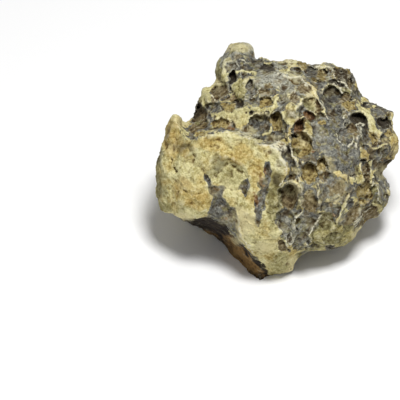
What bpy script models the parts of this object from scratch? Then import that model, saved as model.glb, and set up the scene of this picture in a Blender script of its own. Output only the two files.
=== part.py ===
"""Dragon stone: one weathered lump of rock with a broad tan slab on its front left and a pitted,
ridged grey mass around it.

The stone is laid out in its show face: u runs right, v runs up the face and w comes out of it. The
face leans back by FACE_TILT, so that the stone rests on the flat spots of its underside at z = 0.
Landmarks, dishes and ribs are in millimetres of the show face; the finished solid is in metres.
"""

import math

import bmesh
import bpy
import numpy as np
from mathutils import Vector, noise
from mathutils.geometry import delaunay_2d_cdt

NODE = "dragon_stone"
MM = 0.001

FACE_TILT = math.radians(45)
FACE_ORIGIN = (-0.9, -4.9, 60.8)  # where the show face's origin stands, in millimetres
BASE_VOXEL = 1.5
CARVED_VOXEL = 1.2
SMOOTH_PASSES = 1
TRIANGLES = 9300
WORN_FOOT = 0.6  # how much the resting spots are worn away
WARPS = ((9.0, 2.0), (4.5, 0.8))  # wavelength and reach of the wander in the dishes' outlines
ROUGH = ((22.0, 1.3), (9.0, 0.7))  # wavelength and height of the stone's uneven surface
BULGE = (38.0, 5.0)  # wavelength and height of the bulges on the hidden sides
WANDER = (12.0, 2.5)  # wavelength and reach by which the scallops stray from even cells
SCALLOPS = ((12.5, 3.1), (6.5, 1.5))  # size and depth of the scallops that cover the pitted mass
SHOWN = 0.8  # how much of their depth the show face has, where the dishes below do the work
RIDGE_SHARE = 0.32  # where a scallop's own middle depth lies between its bowl and its ridge
WORN_SHARE = 0.2  # how far the pitted mass is worn back, as a share of the scallops' depth
SLAB_EDGE = 3.0  # over how far the scallops die away inside the slab's outline
WALL_POWER = 0.45  # the smaller, the steeper a dish's wall
FLOOR_CLIMB = 0.3  # how far a dish's floor has climbed at mid height, as a share of its depth
LIP_PLACE = 0.22  # how far outside a dish's edge its lip is
LIP_REACH = 0.22
LIP_SHARE = 0.2  # the lip's height, as a share of the dish's depth
SEED = 7
SCATTER_COUNT = 260  # dishes sent out all round, of which only those on hidden sides are cut
SCATTER_RADIUS = (4.5, 11.0)
SCATTER_DEPTH = (0.35, 0.75)  # as a share of the radius
SCATTER_JITTER = 0.12
SCATTER_WANDER = (10.0, 2.0)  # wavelength and reach by which their outlines stray from round
SCATTER_POWER = 0.8
MIDDLE = (0.0, 0.0, -20.0)  # what the scattered dishes are aimed from
GOLDEN_ANGLE = math.pi * (3.0 - math.sqrt(5.0))
STONE_COLOUR = (0.26, 0.23, 0.16, 1.0)
STONE_ROUGHNESS = 0.9
SHARP_ANGLE = math.radians(30)

# How far the surface must turn toward (or away from) the viewer, as w of its normal, for each
# part of the relief to fade in.
FRONT_SPAN = (0.0, 0.25)  # what is carved into the show face
BACK_SPAN = (-0.3, 0.0)  # the scattered dishes
BULGE_SPAN = (-0.5, -0.1)
DEEP_SPAN = (-0.6, 0.0)  # the full depth of the scallops
SLAB_FACING = 0.1  # where the slab's smooth front ends
FULLY_HIDDEN = 0.9  # how hidden a scattered dish's centre is at least
CALM_SPAN = (-0.3, 0.4)  # over which share of an oval's reach the ground calms down
LIP_SPAN = (-0.2, 0.7)  # between which heights on its dish a lip rises
PATCH_EDGE = 1.0  # how wide the step around a bare patch is

# What sets one noise apart from the next: how far each is shifted.
WARP_SHIFTS = (3.0, 9.0)
WANDER_SHIFTS = (2.0, 6.0, 13.0)
SCATTER_SHIFTS = (1.0, 5.0, 11.0)

# The silhouette of the show face, clockwise from the knob's right side.
RIM = [
    (-15.3, 75.8, -14), (-9.5, 77, -10), (-5, 75, -8), (5, 75, -8), (10, 76, -8), (20, 75.5, -8),
    (30, 73.5, -8), (36, 76, -8), (44, 74, -8), (51, 71, -8), (57, 70.6, -8), (59.5, 65, -8),
    (61.3, 58.5, -8), (63.3, 52.5, -6), (65.8, 48, -5), (70, 44, -5), (77, 43.8, -5), (83.5, 40, -3),
    (88, 36.8, 0), (88.2, 31, 2), (88, 24, 5), (92.6, 18, 8), (93.8, 11, 10), (92.8, 4.5, 8),
    (88.5, -1, 3), (83, -4.5, -5), (79, -8.5, -12), (81.5, -13, -8), (85.5, -20, -3), (87.2, -24, 0),
    (85, -31, -2), (80.5, -38.5, -6), (75, -43.5, -6), (66.5, -46.8, -4), (63.5, -52.7, -2),
    (59, -61.5, 0), (50, -66.2, 4), (43, -68, 6), (32, -67.8, 8), (22, -70, 9),
    (18.2, -75.2, 7), (14.7, -83.8, 3), (8, -86, 0.5), (1, -86.3, 1), (-4, -87, 1.5),
    (-11.5, -90.5, 4.5), (-20.5, -84.5, -1), (-25.7, -79.8, -6), (-30.8, -74.3, -11), (-35.8, -69.3, -16),
    (-40.8, -63.6, -22), (-47.5, -58.2, -23), (-52, -55.5, -20), (-60, -50.3, -15), (-66.5, -47, -8),
    (-73, -43.5, 0), (-80, -40.8, 9), (-86.5, -39.8, 12), (-89, -34, 10), (-90, -26, 10),
    (-90, -15, 12), (-90, -5, 15), (-88.5, 3, 16), (-85.5, 12, 18), (-84, 20, 18),
    (-82, 29, 20), (-80, 33, 22), (-74, 36, 24), (-70, 33.5, 20), (-67.5, 29.5, 6),
    (-63.5, 33, 0), (-62, 39, -3), (-60.5, 43, -6), (-58.5, 48, -9), (-56.7, 53, -12),
    (-53.5, 56.5, -14), (-49, 57, -15), (-47, 62, -16), (-47, 67, -16), (-46, 72, -16),
    (-43.7, 77.5, -16), (-40.5, 82.5, -16), (-36, 86.5, -16), (-32.2, 88.2, -16), (-27.5, 88.8, -16),
    (-21.8, 87.8, -16), (-17.7, 85, -16), (-15.8, 80, -16),
]

# Ledges and creases of the front, each a line that stays an edge.
FRONT_LINES = [
    # The slab's upper lip, from the notch beside the horn to its right edge, then down that edge.
    [
        (-63, 15, 42), (-57, 16.5, 45), (-50, 20.5, 46), (-40, 21.8, 48), (-30, 20.8, 52),
        (-22, 17.3, 56), (-14, 14.3, 60), (-7, 12, 62), (0, 9.3, 64), (4.5, 6, 64), (6.5, -3, 63),
        (7, -12, 61), (4, -20, 59), (1, -32, 55), (1.5, -45, 51), (5, -56, 44), (8, -64, 35),
    ],
    # The foot of the step above that lip.
    [
        (-62, 20, 30), (-50, 24.5, 29), (-40, 25.8, 30), (-30, 25.3, 35), (-20, 22.5, 39),
        (-12, 18.5, 43), (-4, 15.5, 48), (3, 13, 53),
    ],
    # The slab's heel, over the undercut.
    [
        (-76, -41, 26), (-66, -43.5, 34), (-55, -42.3, 39), (-46, -44, 41), (-38, -47, 41),
        (-33, -54, 39), (-26, -63, 35), (-18, -71, 29), (-10, -78, 22), (-5, -83, 15),
    ],
    # The undercut's inner wall.
    [(-60, -47, 2), (-50, -51, 0), (-42, -56, -4), (-32, -66, -1), (-21, -78, 5), (-13, -85, 8)],
    # The crease from the horn down the left of the slab.
    [(-75, 29, 34), (-69, 20, 39), (-65, 8, 44), (-60, -3, 47), (-56, -11, 50)],
    # The nose ridge, the highest crest of the stone.
    [(9, 10, 60), (8, 21, 59), (9, 31, 61), (11, 40, 57), (13, 48, 49), (21, 55, 36)],
    # The right-hand edge of the grey face.
    [(61, 24, 44), (60, 12, 48), (58, 2, 51), (57, -10, 51), (57, -22, 46), (52, -34, 40)],
]

FRONT_POINTS = [
    # slab
    (-80, 18, 31), (-86, 5, 27), (-84.5, -10, 30), (-85.5, -25, 25), (-82, -35, 24),
    (-72, 6, 40), (-71, -12, 43), (-72, -26, 40), (-62, -22, 47), (-58, -33, 44), (-52, 8, 50),
    (-40, 12, 52), (-48, -3, 55), (-38, -14, 52), (-45, -30, 46), (-25, 5, 58), (-20, -20, 57),
    (-22, -40, 53), (-32, -43, 45), (-22, -57, 43), (-10, -5, 62), (-9, -25, 59), (-8, -45, 54),
    (-9, -60, 46),
    # toe
    (3, -79, 20), (-1, -71, 33), (10, -73, 22), (16, -66, 25),
    # step and upper left
    (-57, 30, 17), (-65, 25, 14), (-54, 49, 7), (-51, 39, 16), (-42, 34, 26), (-35, 41, 28),
    (-46, 50, 10), (-35, 52, 13), (-25, 40, 33), (-19, 32, 37), (-22, 55, 23), (-10, 28, 43),
    (-8, 42, 41), (1, 52, 34), (-10, 62, 22), (0, 66, 18), (10, 61, 22), (-25, 64, 12),
    (-36, 59, 5), (-20, 70, 0), (-5, 71, 5),
    # knob
    (-30, 74, 3), (-39, 75, -5), (-22, 77, 0), (-30, 83, -1), (-42, 65, -5), (-34, 66, 2),
    # top right
    (14, 68, 9), (20, 61, 22), (21, 71, 3), (28, 66, 9), (37, 66, 8), (45, 63, 12), (52, 64, 7),
    (57, 61, 4), (50, 54, 20), (29, 56, 27), (25, 42, 45), (31, 34, 50),
    # grey face
    (20, 20, 56), (22, 5, 60), (16, -3, 62), (18, -16, 61), (19, -30, 57), (16, -42, 50),
    (12, -52, 45), (11, -61, 37), (32, 20, 57), (40, 8, 60), (32, -6, 61), (46, -12, 58),
    (32, -20, 59), (30, -34, 54), (45, -28, 52), (48, 22, 51),
    # dish, hole and lobe at the right
    (34, 45, 39), (42, 52, 30), (47, 42, 37), (56, 42, 29), (59, 50, 16), (54, 31, 44),
    (62, 38, 29), (70, 35, 25), (76, 37, 17), (75, 27, 28), (84, 31, 15), (85, 22, 22),
    (76, 14, 33), (86, 10, 25), (78, 3, 29), (68, 8, 39), (66, -3, 36), (75, -4, 22),
    # lower right
    (64, -13, 41), (66, -25, 36), (74, -15, 26), (77, -26, 22), (82, -20, 13), (80, -32, 12),
    (70, -39, 17), (61, -42, 28), (43, -47, 37), (48, -58, 27), (33, -44, 42), (27, -55, 39),
    (36, -61, 29), (57, -54, 20), (22, -63, 33), (66, -35, 21),
]

# The hidden sides: (x, y, z) of the standing stone, before it is centred.
BACK_POINTS = [
    # a ring just above the ground
    (40, -26, 1), (64, -10, 4), (73, 12, 9), (66, 38, 5), (48, 58, 2), (18, 66, 1), (-12, 70, 1),
    (-42, 62, 2), (-63, 44, 5), (-72, 20, 9), (-66, -2, 8), (-52, -18, 2), (-34, -32, 0),
    # the underside
    (2, -52, 0), (16, -40, 2), (0, -20, 3), (-26, -6, 0), (26, 0, 0), (44, 12, 3), (0, 22, 0),
    (-40, 28, 3), (30, 40, 0), (-14, 48, 0),
    # half way up
    (84, 20, 52), (80, 40, 42), (70, 58, 46), (46, 74, 40), (18, 82, 52), (-12, 84, 40),
    (-40, 78, 50), (-62, 58, 42), (-78, 34, 46), (-85, 10, 46), (-80, -8, 34), (86, -6, 48),
    (76, -16, 22), (-72, -22, 26),
    # under the top
    (74, 34, 78), (60, 52, 82), (38, 68, 86), (8, 74, 90), (-28, 84, 84), (-46, 60, 78),
    (-58, 44, 74), (-76, 26, 76),
]

# The slab's outline: the smoother ground that the scallops leave out.
SLAB = [
    (-95, -45), (-92, 30), (-78, 40), (-70, 30), (-63, 15), (-57, 16.5), (-50, 20.5), (-40, 21.8),
    (-30, 20.8), (-22, 17.3), (-14, 14.3), (-7, 12), (0, 9.3), (4.5, 6), (6.5, -3), (7, -12),
    (4, -20), (1, -32), (1.5, -45), (6, -56), (14, -66), (16, -90), (-5, -84), (-18, -71),
    (-26, -63), (-33, -54), (-46, -44), (-66, -43.5), (-76, -41),
]

# Where the slab's tan crust has come away, a step down to the rock below it.
CRUST = 1.8
PATCHES = [
    [
        (-55, -10), (-51, -13), (-49, -19), (-44, -20), (-39, -17), (-39, -21), (-41, -25),
        (-37, -31), (-30, -37), (-28, -45), (-27, -58), (-31, -58), (-36, -50), (-46, -45),
        (-53, -43), (-50, -37), (-48, -27), (-51, -21), (-53, -14),
    ],
    [(-28, -17), (-23, -15), (-20, -20), (-23, -28), (-26, -23)],
    [
        (-9, -1), (-6, -1), (-4, -8), (-6, -18), (-7, -26), (-9, -34), (-11, -42), (-14, -49),
        (-16, -46), (-17, -38), (-16, -30), (-13, -24), (-14, -18), (-10, -12),
    ],
]

# Dishes and holes: u, v, width, height, turn in degrees, depth.
DISHES = [
    # upper left
    (-56.5, 33, 13, 20, 8, 17), (-42.5, 51.5, 14, 10, 25, 7), (-9.5, 50.5, 11, 6, -8, 4),
    (-36, 40, 10, 8, 0, 4), (-12.5, 27.5, 17, 14, 0, 12), (-47, 40, 9, 9, 10, 6),
    (-18.8, 53.5, 9, 14, 0, 8), (-14, 73, 9, 7, 0, 4), (3, 70.5, 13, 6, -10, 4),
    (6.5, 24.5, 6, 12, 15, 4), (-41.5, 27, 14, 10, 0, 7), (-8, 43.5, 12, 8.5, 0, 8),
    (0.5, 28.5, 10, 15, 5, 14), (-28.5, 42, 8.5, 5.5, -35, 8), (-33, 61.5, 6, 13.5, -12, 14),
    (-6.5, 69.3, 12.5, 5, -8, 10),
    # top right
    (15, 67.3, 10, 5.5, -30, 8), (26, 65.5, 11, 13, 0, 11), (33.5, 57.5, 7.5, 6.5, 0, 6),
    (41.3, 44, 15.5, 24, 8, 15), (77, 36.5, 10, 9, 0, 4), (50, 64.5, 8, 9, -15, 8),
    (51.5, 47, 9, 8, 0, 7), (44.5, 66, 5, 7, 0, 5), (55, 57.5, 6, 9, -15, 6),
    (20.5, 71.5, 7, 6.5, -20, 7), (34, 65, 8, 9, 0, 8), (54, 41, 10, 8, 0, 4),
    (42.3, 58.8, 6.5, 5, -25, 8),
    # right
    (60.8, 30.5, 15, 11, -14, 15), (80.5, 27.8, 12, 10, -15, 15), (84, -1, 10, 5, 8, 6),
    (50.5, 16.5, 13, 14, 0, 4.5), (65, 17.5, 7, 12, 5, 6), (78, 5, 13, 9.5, 0, 6),
    (79, -22, 7, 14, 20, 4), (55.5, 23.5, 8, 8, 0, 5), (77, -3.5, 9, 6, 0, 5),
    (66.5, -6, 5.5, 10, 0, 5), (70, -39, 14, 11, 25, 10), (56, -41, 8, 20, -30, 4),
    (72, 17, 7, 10, 0, 5), (66, -24, 14, 18, 5, 9),
    # centre
    (16, 24.5, 8.5, 12.5, -20, 13), (24.5, 33, 10.5, 7, -38, 9), (18, 11, 17, 20, -5, 12),
    (24, -9, 14, 16, -8, 11), (33, -3, 8.5, 9.5, -5, 11), (24.5, 42, 12, 9, 20, 7),
    (37, -45.5, 14, 13, -20, 7), (8.5, 53.5, 9, 9, 0, 5), (4, 45, 6.5, 16, -8, 6),
    (18, 37, 5.5, 10, -25, 5), (5.5, -43.5, 14, 16, -10, 6), (23, -49, 11, 17, -25, 6),
    (18, -57.5, 8, 9, 0, 4), (10.3, -57.5, 5, 9.5, 0, 4), (9, -27, 14, 21, 0, 18),
    (24.5, -32, 12, 14, 0, 6), (20.5, 53, 10, 8, 0, 4), (34.5, -11, 8, 8, 0, 3),
    (43, -66, 14, 4, 3, 6),
    # slab
    (-36, -11, 30, 24, -20, 4.5), (-64, -2, 16, 12, 40, 2),
]

# Ground where the scallops die away: u, v, width, height, turn in degrees, share taken off.
CALM = [
    (44, 8, 44, 60, 0, 0.5), (-2, 60, 34, 16, 5, 0.5), (-30, 76, 30, 34, 0, 0.95),
    (42, -57, 46, 26, 8, 0.5), (5, -76, 34, 26, 0, 1.0), (69, 32, 14, 26, 35, 0.7),
    (14, 35, 14, 22, 0, 0.3), (-26, 34, 18, 16, 0, 0.5), (-28, 54, 10, 18, 0, 0.5),
    (-53, 49, 10, 16, 0, 0.5), (20, -50, 20, 24, -20, 0.4), (7, -42, 14, 18, 0, 0.5),
    (78, -30, 14, 30, 20, 0.5), (7, -1, 8, 24, 0, 0.9), (88, 12, 12, 28, 0, 0.5),
    (-32, -66, 70, 26, -42, 0.7), (-50, 58, 16, 60, 10, 0.6),
]

# Ribs: width, height, then the line that each follows.
RIBS = [
    (4.5, 3.0, [(9, 18), (9, 11), (11, 5), (14, 0), (16, -7), (18, -20), (19, -38), (13, -46), (9, -61)]),
    (5.0, 2.2, [(31, -17), (32, -36)]),
    (5.5, 3.0, [(57, -22), (53, -31), (48, -42), (41, -52)]),
    (5.0, 2.5, [(71, -12), (74, -20), (81, -34)]),
    (5.0, 2.5, [(60, -49), (65, -41), (70, -34)]),
    (4.0, 2.5, [(33, -41), (28, -49), (23, -57), (26, -61), (21, -64)]),
    (4.5, 3.0, [(64, 27), (61, 17), (59, 10)]),
    (4.0, 2.0, [(46, 60), (51, 56), (57, 53)]),
    (3.5, 2.0, [(24, 57), (32, 46), (36, 33)]),
    (4.5, 3.0, [(-2, 66), (12, 63.5), (19, 60.5), (22, 57)]),
    (9.0, 2.5, [(60, 43), (68, 33), (76, 21)]),
    (3.5, 1.5, [(-16, 47), (-8, 49.5), (0, 47)]),
    (6.0, 1.8, [(-50, 18.5), (-28, 18), (-2, 7.5), (4, 1), (4.5, -9)]),
    (4.5, 3.0, [(33, 52), (37, 57), (44, 57), (49, 52)]),
    (4.0, 2.5, [(53, 34), (58, 37.5), (64, 36.5), (68, 32)]),
    (4.0, 2.5, [(74, 31.5), (79, 34), (85, 31.5)]),
    (4.0, 2.5, [(20, 70.5), (25, 73), (31, 71.5)]),
]

# A sunk channel between the slab's edge and the main rib: width, depth, line.
CHANNELS = [
    (6.0, 5.0, [(8, 8), (9, 1), (9, -8), (8, -15)]),
    (4.0, 4.0, [(-17, 17.5), (-11, 15.5), (-5, 13.5)]),
]


def face_from_standing(point):
    """The (u, v, w) of a point given as x, y, z of the standing stone."""
    x, y, z = point
    up = z - FACE_ORIGIN[2]
    sin_t, cos_t = math.sin(FACE_TILT), math.cos(FACE_TILT)
    return (x, y * cos_t + up * sin_t, up * cos_t - y * sin_t)


def sheet(points, lines):
    """Triangulates landmarks inside the rim, keeping each line as edges."""
    landmarks = list(points)
    edges = []
    for line in lines:
        first = len(landmarks)
        landmarks += line
        edges += [(first + i, first + i + 1) for i in range(len(line) - 1)]
    plan = [Vector(p[:2]) for p in landmarks]
    rim = list(range(len(RIM)))
    corners, _, faces, origin, _, _ = delaunay_2d_cdt(plan, edges, [rim], 1, 1e-4)
    placed = [landmarks[origin[i][0]] for i in range(len(corners))]
    return placed, [list(face) for face in faces]


def block_out():
    """The plain form of the stone as one closed polyhedron, front and back joined on the rim."""
    back = [face_from_standing(p) for p in BACK_POINTS]
    front_points, front_faces = sheet(RIM + FRONT_POINTS, FRONT_LINES)
    back_points, back_faces = sheet(RIM + back, [])
    model = bmesh.new()
    shared = {}

    def corner(point):
        if point not in shared:
            shared[point] = model.verts.new(point)
        return shared[point]

    for face in front_faces:
        model.faces.new([corner(front_points[i]) for i in face])
    for face in back_faces:
        model.faces.new([corner(back_points[i]) for i in reversed(face)])
    mesh = bpy.data.meshes.new(NODE)
    model.to_mesh(mesh)
    model.free()
    return mesh


def modified(stone, kind, **settings):
    """Gives the stone the mesh that one modifier makes of it."""
    modifier = stone.modifiers.new(kind.title(), kind)
    for name, value in settings.items():
        setattr(modifier, name, value)
    evaluated = stone.evaluated_get(bpy.context.evaluated_depsgraph_get())
    mesh = bpy.data.meshes.new_from_object(evaluated)
    stone.modifiers.clear()
    old = stone.data
    stone.data = mesh
    bpy.data.meshes.remove(old)
    mesh.name = NODE


def points_of(mesh):
    """The mesh's vertices, one row each."""
    flat = np.empty(len(mesh.vertices) * 3, dtype=np.float32)
    mesh.vertices.foreach_get("co", flat)
    return flat.reshape(-1, 3).astype(float)


def normals_of(mesh):
    """The direction that the surface faces at each vertex."""
    flat = np.empty(len(mesh.vertices) * 3, dtype=np.float32)
    mesh.vertex_normals.foreach_get("vector", flat)
    return flat.reshape(-1, 3).astype(float)


def set_points(mesh, points):
    """Moves every vertex to its new place."""
    mesh.vertices.foreach_set("co", points.astype(np.float32).ravel())
    mesh.update()


def smooth_step(low, high, value):
    """Rises smoothly from zero to one between two values."""
    t = np.clip((value - low) / (high - low), 0.0, 1.0)
    return t * t * (3.0 - 2.0 * t)


def lumpy(points, wavelength, shift=0.0):
    """Smooth noise from about -1 to 1, the same on every run."""
    offset = Vector((shift, shift * 1.7, -shift))
    return np.array([noise.noise(Vector(p) / wavelength + offset) for p in points])


def strayed(points, wander, shifts):
    """The points, each moved a little, so that what is laid out on them strays."""
    wavelength, reach = wander
    return points + reach * np.stack([lumpy(points, wavelength, s) for s in shifts], axis=1)


def cells(points, size):
    """Bowl-shaped cells that meet in cusped ridges: 0 in a bowl's middle, about 1 on a ridge."""
    shares = [noise.voronoi(Vector(p) / size)[0] for p in points]
    return np.array([near[0] / max(near[1], 1e-6) for near in shares])


def place_in(u, v, oval):
    """Where points lie in an oval: one in its middle and zero on its edge, and how far up it."""
    centre_u, centre_v, width, height, turn = oval[:5]
    angle = math.radians(turn)
    du, dv = u - centre_u, v - centre_v
    across = (du * math.cos(angle) + dv * math.sin(angle)) / (width / 2)
    along = (dv * math.cos(angle) - du * math.sin(angle)) / (height / 2)
    return 1.0 - across**2 - along**2, along


def dish_depth(u, v, dish):
    """How deep one dish cuts: deepest under its top, with a floor that climbs to its foot."""
    inside, along = place_in(u, v, dish)
    floor = 1.0 - FLOOR_CLIMB * (1.0 - np.clip(along, -1.0, 1.0))
    return dish[5] * floor * np.clip(inside, 0.0, 1.0) ** WALL_POWER


def dish_lip(u, v, dish):
    """How far the rock stands up in a thin lip over one dish's top."""
    inside, along = place_in(u, v, dish)
    ring = np.clip(1.0 - np.abs(inside + LIP_PLACE) / LIP_REACH, 0.0, 1.0)
    return LIP_SHARE * dish[5] * ring * smooth_step(*LIP_SPAN, along)


def stroke(u, v, line, width):
    """One along a line, falling to zero at half its width to either side."""
    nearest = np.full(len(u), np.inf)
    for (u0, v0), (u1, v1) in zip(line, line[1:]):
        run_u, run_v = u1 - u0, v1 - v0
        share = ((u - u0) * run_u + (v - v0) * run_v) / (run_u**2 + run_v**2)
        share = np.clip(share, 0.0, 1.0)
        away = np.hypot(u - u0 - share * run_u, v - v0 - share * run_v)
        nearest = np.minimum(nearest, away)
    return np.clip(1.0 - nearest / (width / 2), 0.0, 1.0)


def carve_front(mesh):
    """Raises the ribs and sinks the dishes of the show face, straight along w."""
    points = points_of(mesh)
    facing = smooth_step(*FRONT_SPAN, normals_of(mesh)[:, 2])
    u, v = points[:, 0].copy(), points[:, 1].copy()
    for wavelength, reach in WARPS:
        u += reach * lumpy(points, wavelength, WARP_SHIFTS[0])
        v += reach * lumpy(points, wavelength, WARP_SHIFTS[1])
    lift, sink = np.zeros(len(points)), np.zeros(len(points))
    for width, height, line in RIBS:
        lift = np.maximum(lift, height * stroke(u, v, line, width))
    for dish in DISHES:
        lift = np.maximum(lift, dish_lip(u, v, dish))
        sink = np.maximum(sink, dish_depth(u, v, dish))
    for patch in PATCHES:
        sink = np.maximum(sink, CRUST * (1.0 - edge_fade(u, v, patch, PATCH_EDGE)))
    for width, depth, line in CHANNELS:
        sink = np.maximum(sink, depth * stroke(u, v, line, width))
    points[:, 2] += (lift - sink) * facing
    set_points(mesh, points)


def scatter(points, hidden):
    """Where the hidden sides' dishes are: the index of each centre, its radius and its depth."""
    rng = np.random.default_rng(SEED)
    rays = points - np.array(MIDDLE)
    rays /= np.linalg.norm(rays, axis=1)[:, None]
    for i in range(SCATTER_COUNT):
        height = 1.0 - 2.0 * (i + 0.5) / SCATTER_COUNT
        ring = math.sqrt(1.0 - height**2)
        angle = i * GOLDEN_ANGLE
        aim = np.array([ring * math.cos(angle), ring * math.sin(angle), height])
        aim += rng.normal(0.0, SCATTER_JITTER, 3)
        radius = rng.uniform(*SCATTER_RADIUS)
        depth = radius * rng.uniform(*SCATTER_DEPTH)
        centre = int(np.argmax(rays @ aim))
        if hidden[centre] > FULLY_HIDDEN:
            yield centre, radius, depth


def carve_back(mesh):
    """Sinks seeded dishes into the sides that the show face doesn't reach."""
    points, normals = points_of(mesh), normals_of(mesh)
    hidden = 1.0 - smooth_step(*BACK_SPAN, normals[:, 2])
    wander = strayed(points, SCATTER_WANDER, SCATTER_SHIFTS)
    sink = np.zeros(len(points))
    for centre, radius, depth in scatter(points, hidden):
        away = np.linalg.norm(wander - wander[centre], axis=1) / radius
        sink = np.maximum(sink, depth * np.clip(1.0 - away**2, 0.0, 1.0) ** SCATTER_POWER)
    set_points(mesh, points - normals * (sink * hidden)[:, None])


def within(u, v, outline):
    """True where (u, v) is within a closed outline."""
    found = np.zeros(len(u), dtype=bool)
    for (u0, v0), (u1, v1) in zip(outline, outline[1:] + outline[:1]):
        crosses = (v0 > v) != (v1 > v)
        at = u0 + (v - v0) * (u1 - u0) / (v1 - v0 if v1 != v0 else 1.0)
        found ^= crosses & (u < at)
    return found


def edge_fade(u, v, outline, width):
    """1 outside an outline, falling to 0 at this width inside it."""
    line = outline + outline[:1]
    near_edge = stroke(u, v, line, 2 * width)
    return np.where(within(u, v, outline), near_edge, 1.0)


def pitting(points, normals, worn):
    """How strong the scallops are: full on hidden sides, less on the show face and calm ground."""
    u, v = points[:, 0], points[:, 1]
    calm = np.zeros(len(points))
    for oval in CALM:
        inside = place_in(u, v, oval)[0]
        calm = np.maximum(calm, oval[5] * smooth_step(*CALM_SPAN, inside))
    hidden = 1.0 - smooth_step(*DEEP_SPAN, normals[:, 2])
    return (hidden + (1.0 - hidden) * SHOWN * worn) * (1.0 - calm)


def roughen(mesh):
    """Gives the block its uneven surface, and scallops everywhere but on the slab."""
    points, normals = points_of(mesh), normals_of(mesh)
    off_slab = edge_fade(points[:, 0], points[:, 1], SLAB, SLAB_EDGE)
    worn = np.where(normals[:, 2] > SLAB_FACING, off_slab, 1.0)
    pitted = pitting(points, normals, worn)
    wander = strayed(points, WANDER, WANDER_SHIFTS)
    wavelength, height = BULGE
    hidden = 1.0 - smooth_step(*BULGE_SPAN, normals[:, 2])
    relief = height * lumpy(points, wavelength) * hidden
    for wavelength, height in ROUGH:
        relief += height * lumpy(points, wavelength)
    for size, depth in SCALLOPS:
        relief += depth * ((cells(wander, size) ** 2 - RIDGE_SHARE) * pitted - WORN_SHARE * worn)
    set_points(mesh, points + normals * relief[:, None])


def drop_crumbs(mesh):
    """Keeps the largest body and deletes specks that the relief pinched off."""
    model = bmesh.new()
    model.from_mesh(mesh)
    waiting = set(model.verts)
    bodies = []
    while waiting:
        body, edge_of_body = set(), [waiting.pop()]
        while edge_of_body:
            vert = edge_of_body.pop()
            body.add(vert)
            near = [edge.other_vert(vert) for edge in vert.link_edges]
            fresh = [other for other in near if other in waiting]
            waiting.difference_update(fresh)
            edge_of_body += fresh
        bodies.append(body)
    bodies.sort(key=len)
    crumbs = [vert for body in bodies[:-1] for vert in body]
    bmesh.ops.delete(model, geom=crumbs, context="VERTS")
    model.to_mesh(mesh)
    model.free()


def stand_up(mesh):
    """Turns the show face back by its tilt and goes from millimetres to metres."""
    u, v, w = points_of(mesh).T
    sin_t, cos_t = math.sin(FACE_TILT), math.cos(FACE_TILT)
    x = FACE_ORIGIN[0] + u
    y = FACE_ORIGIN[1] + v * cos_t - w * sin_t
    z = FACE_ORIGIN[2] + v * sin_t + w * cos_t - WORN_FOOT
    set_points(mesh, np.stack([x, y, z], axis=1) * MM)


def wear_foot(mesh):
    """Cuts the underside flat at z = 0, where the stone rests."""
    model = bmesh.new()
    model.from_mesh(mesh)
    everything = model.verts[:] + model.edges[:] + model.faces[:]
    bmesh.ops.bisect_plane(
        model,
        geom=everything,
        dist=1e-6,
        plane_co=(0.0, 0.0, 0.0),
        plane_no=(0.0, 0.0, -1.0),
        clear_outer=True,
    )
    open_edges = [edge for edge in model.edges if edge.is_boundary]
    bmesh.ops.triangle_fill(model, edges=open_edges, use_beauty=True)
    bmesh.ops.triangulate(model, faces=model.faces[:])
    bmesh.ops.recalc_face_normals(model, faces=model.faces[:])
    model.to_mesh(mesh)
    model.free()


def stone_material():
    """One dull brown-grey finish for the whole stone."""
    material = bpy.data.materials.new("weathered_stone")
    material.use_nodes = True
    shader = material.node_tree.nodes["Principled BSDF"]
    shader.inputs["Base Color"].default_value = STONE_COLOUR
    shader.inputs["Roughness"].default_value = STONE_ROUGHNESS
    shader.inputs["Metallic"].default_value = 0.0
    return material


def build_stone():
    """Models the stone, from the block with its relief to the worn foot that it rests on."""
    stone = bpy.data.objects.new(NODE, block_out())
    bpy.context.scene.collection.objects.link(stone)
    modified(stone, "REMESH", mode="VOXEL", voxel_size=BASE_VOXEL)
    modified(stone, "SMOOTH", factor=0.5, iterations=SMOOTH_PASSES)
    roughen(stone.data)
    carve_front(stone.data)
    carve_back(stone.data)
    modified(stone, "REMESH", mode="VOXEL", voxel_size=CARVED_VOXEL)
    drop_crumbs(stone.data)
    share = TRIANGLES / (2 * len(stone.data.polygons))
    modified(stone, "DECIMATE", decimate_type="COLLAPSE", ratio=share)
    stand_up(stone.data)
    wear_foot(stone.data)
    stone.data.shade_smooth()
    stone.data.set_sharp_from_angle(angle=SHARP_ANGLE)
    stone.data.materials.append(stone_material())
    return stone


def clear_scene():
    """Removes the scene's objects."""
    for thing in list(bpy.data.objects):
        bpy.data.objects.remove(thing, do_unlink=True)


clear_scene()
build_stone()
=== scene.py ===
"""The dressed dragon stone: fine relief and colours on one weathered lump of rock.

The stone is laid out in its show face, in millimetres: u runs right, v up the face and w out of it.
The face leans back by FACE_TILT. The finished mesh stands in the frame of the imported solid, in metres.
"""

from __future__ import annotations

import logging
import math
from dataclasses import dataclass
from enum import Enum
from functools import reduce
from operator import add
from typing import Callable, Iterator, Optional, Sequence, Union

import bmesh
import bpy
import numpy as np
from mathutils import Matrix, Vector, noise
from mathutils.geometry import delaunay_2d_cdt


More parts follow.
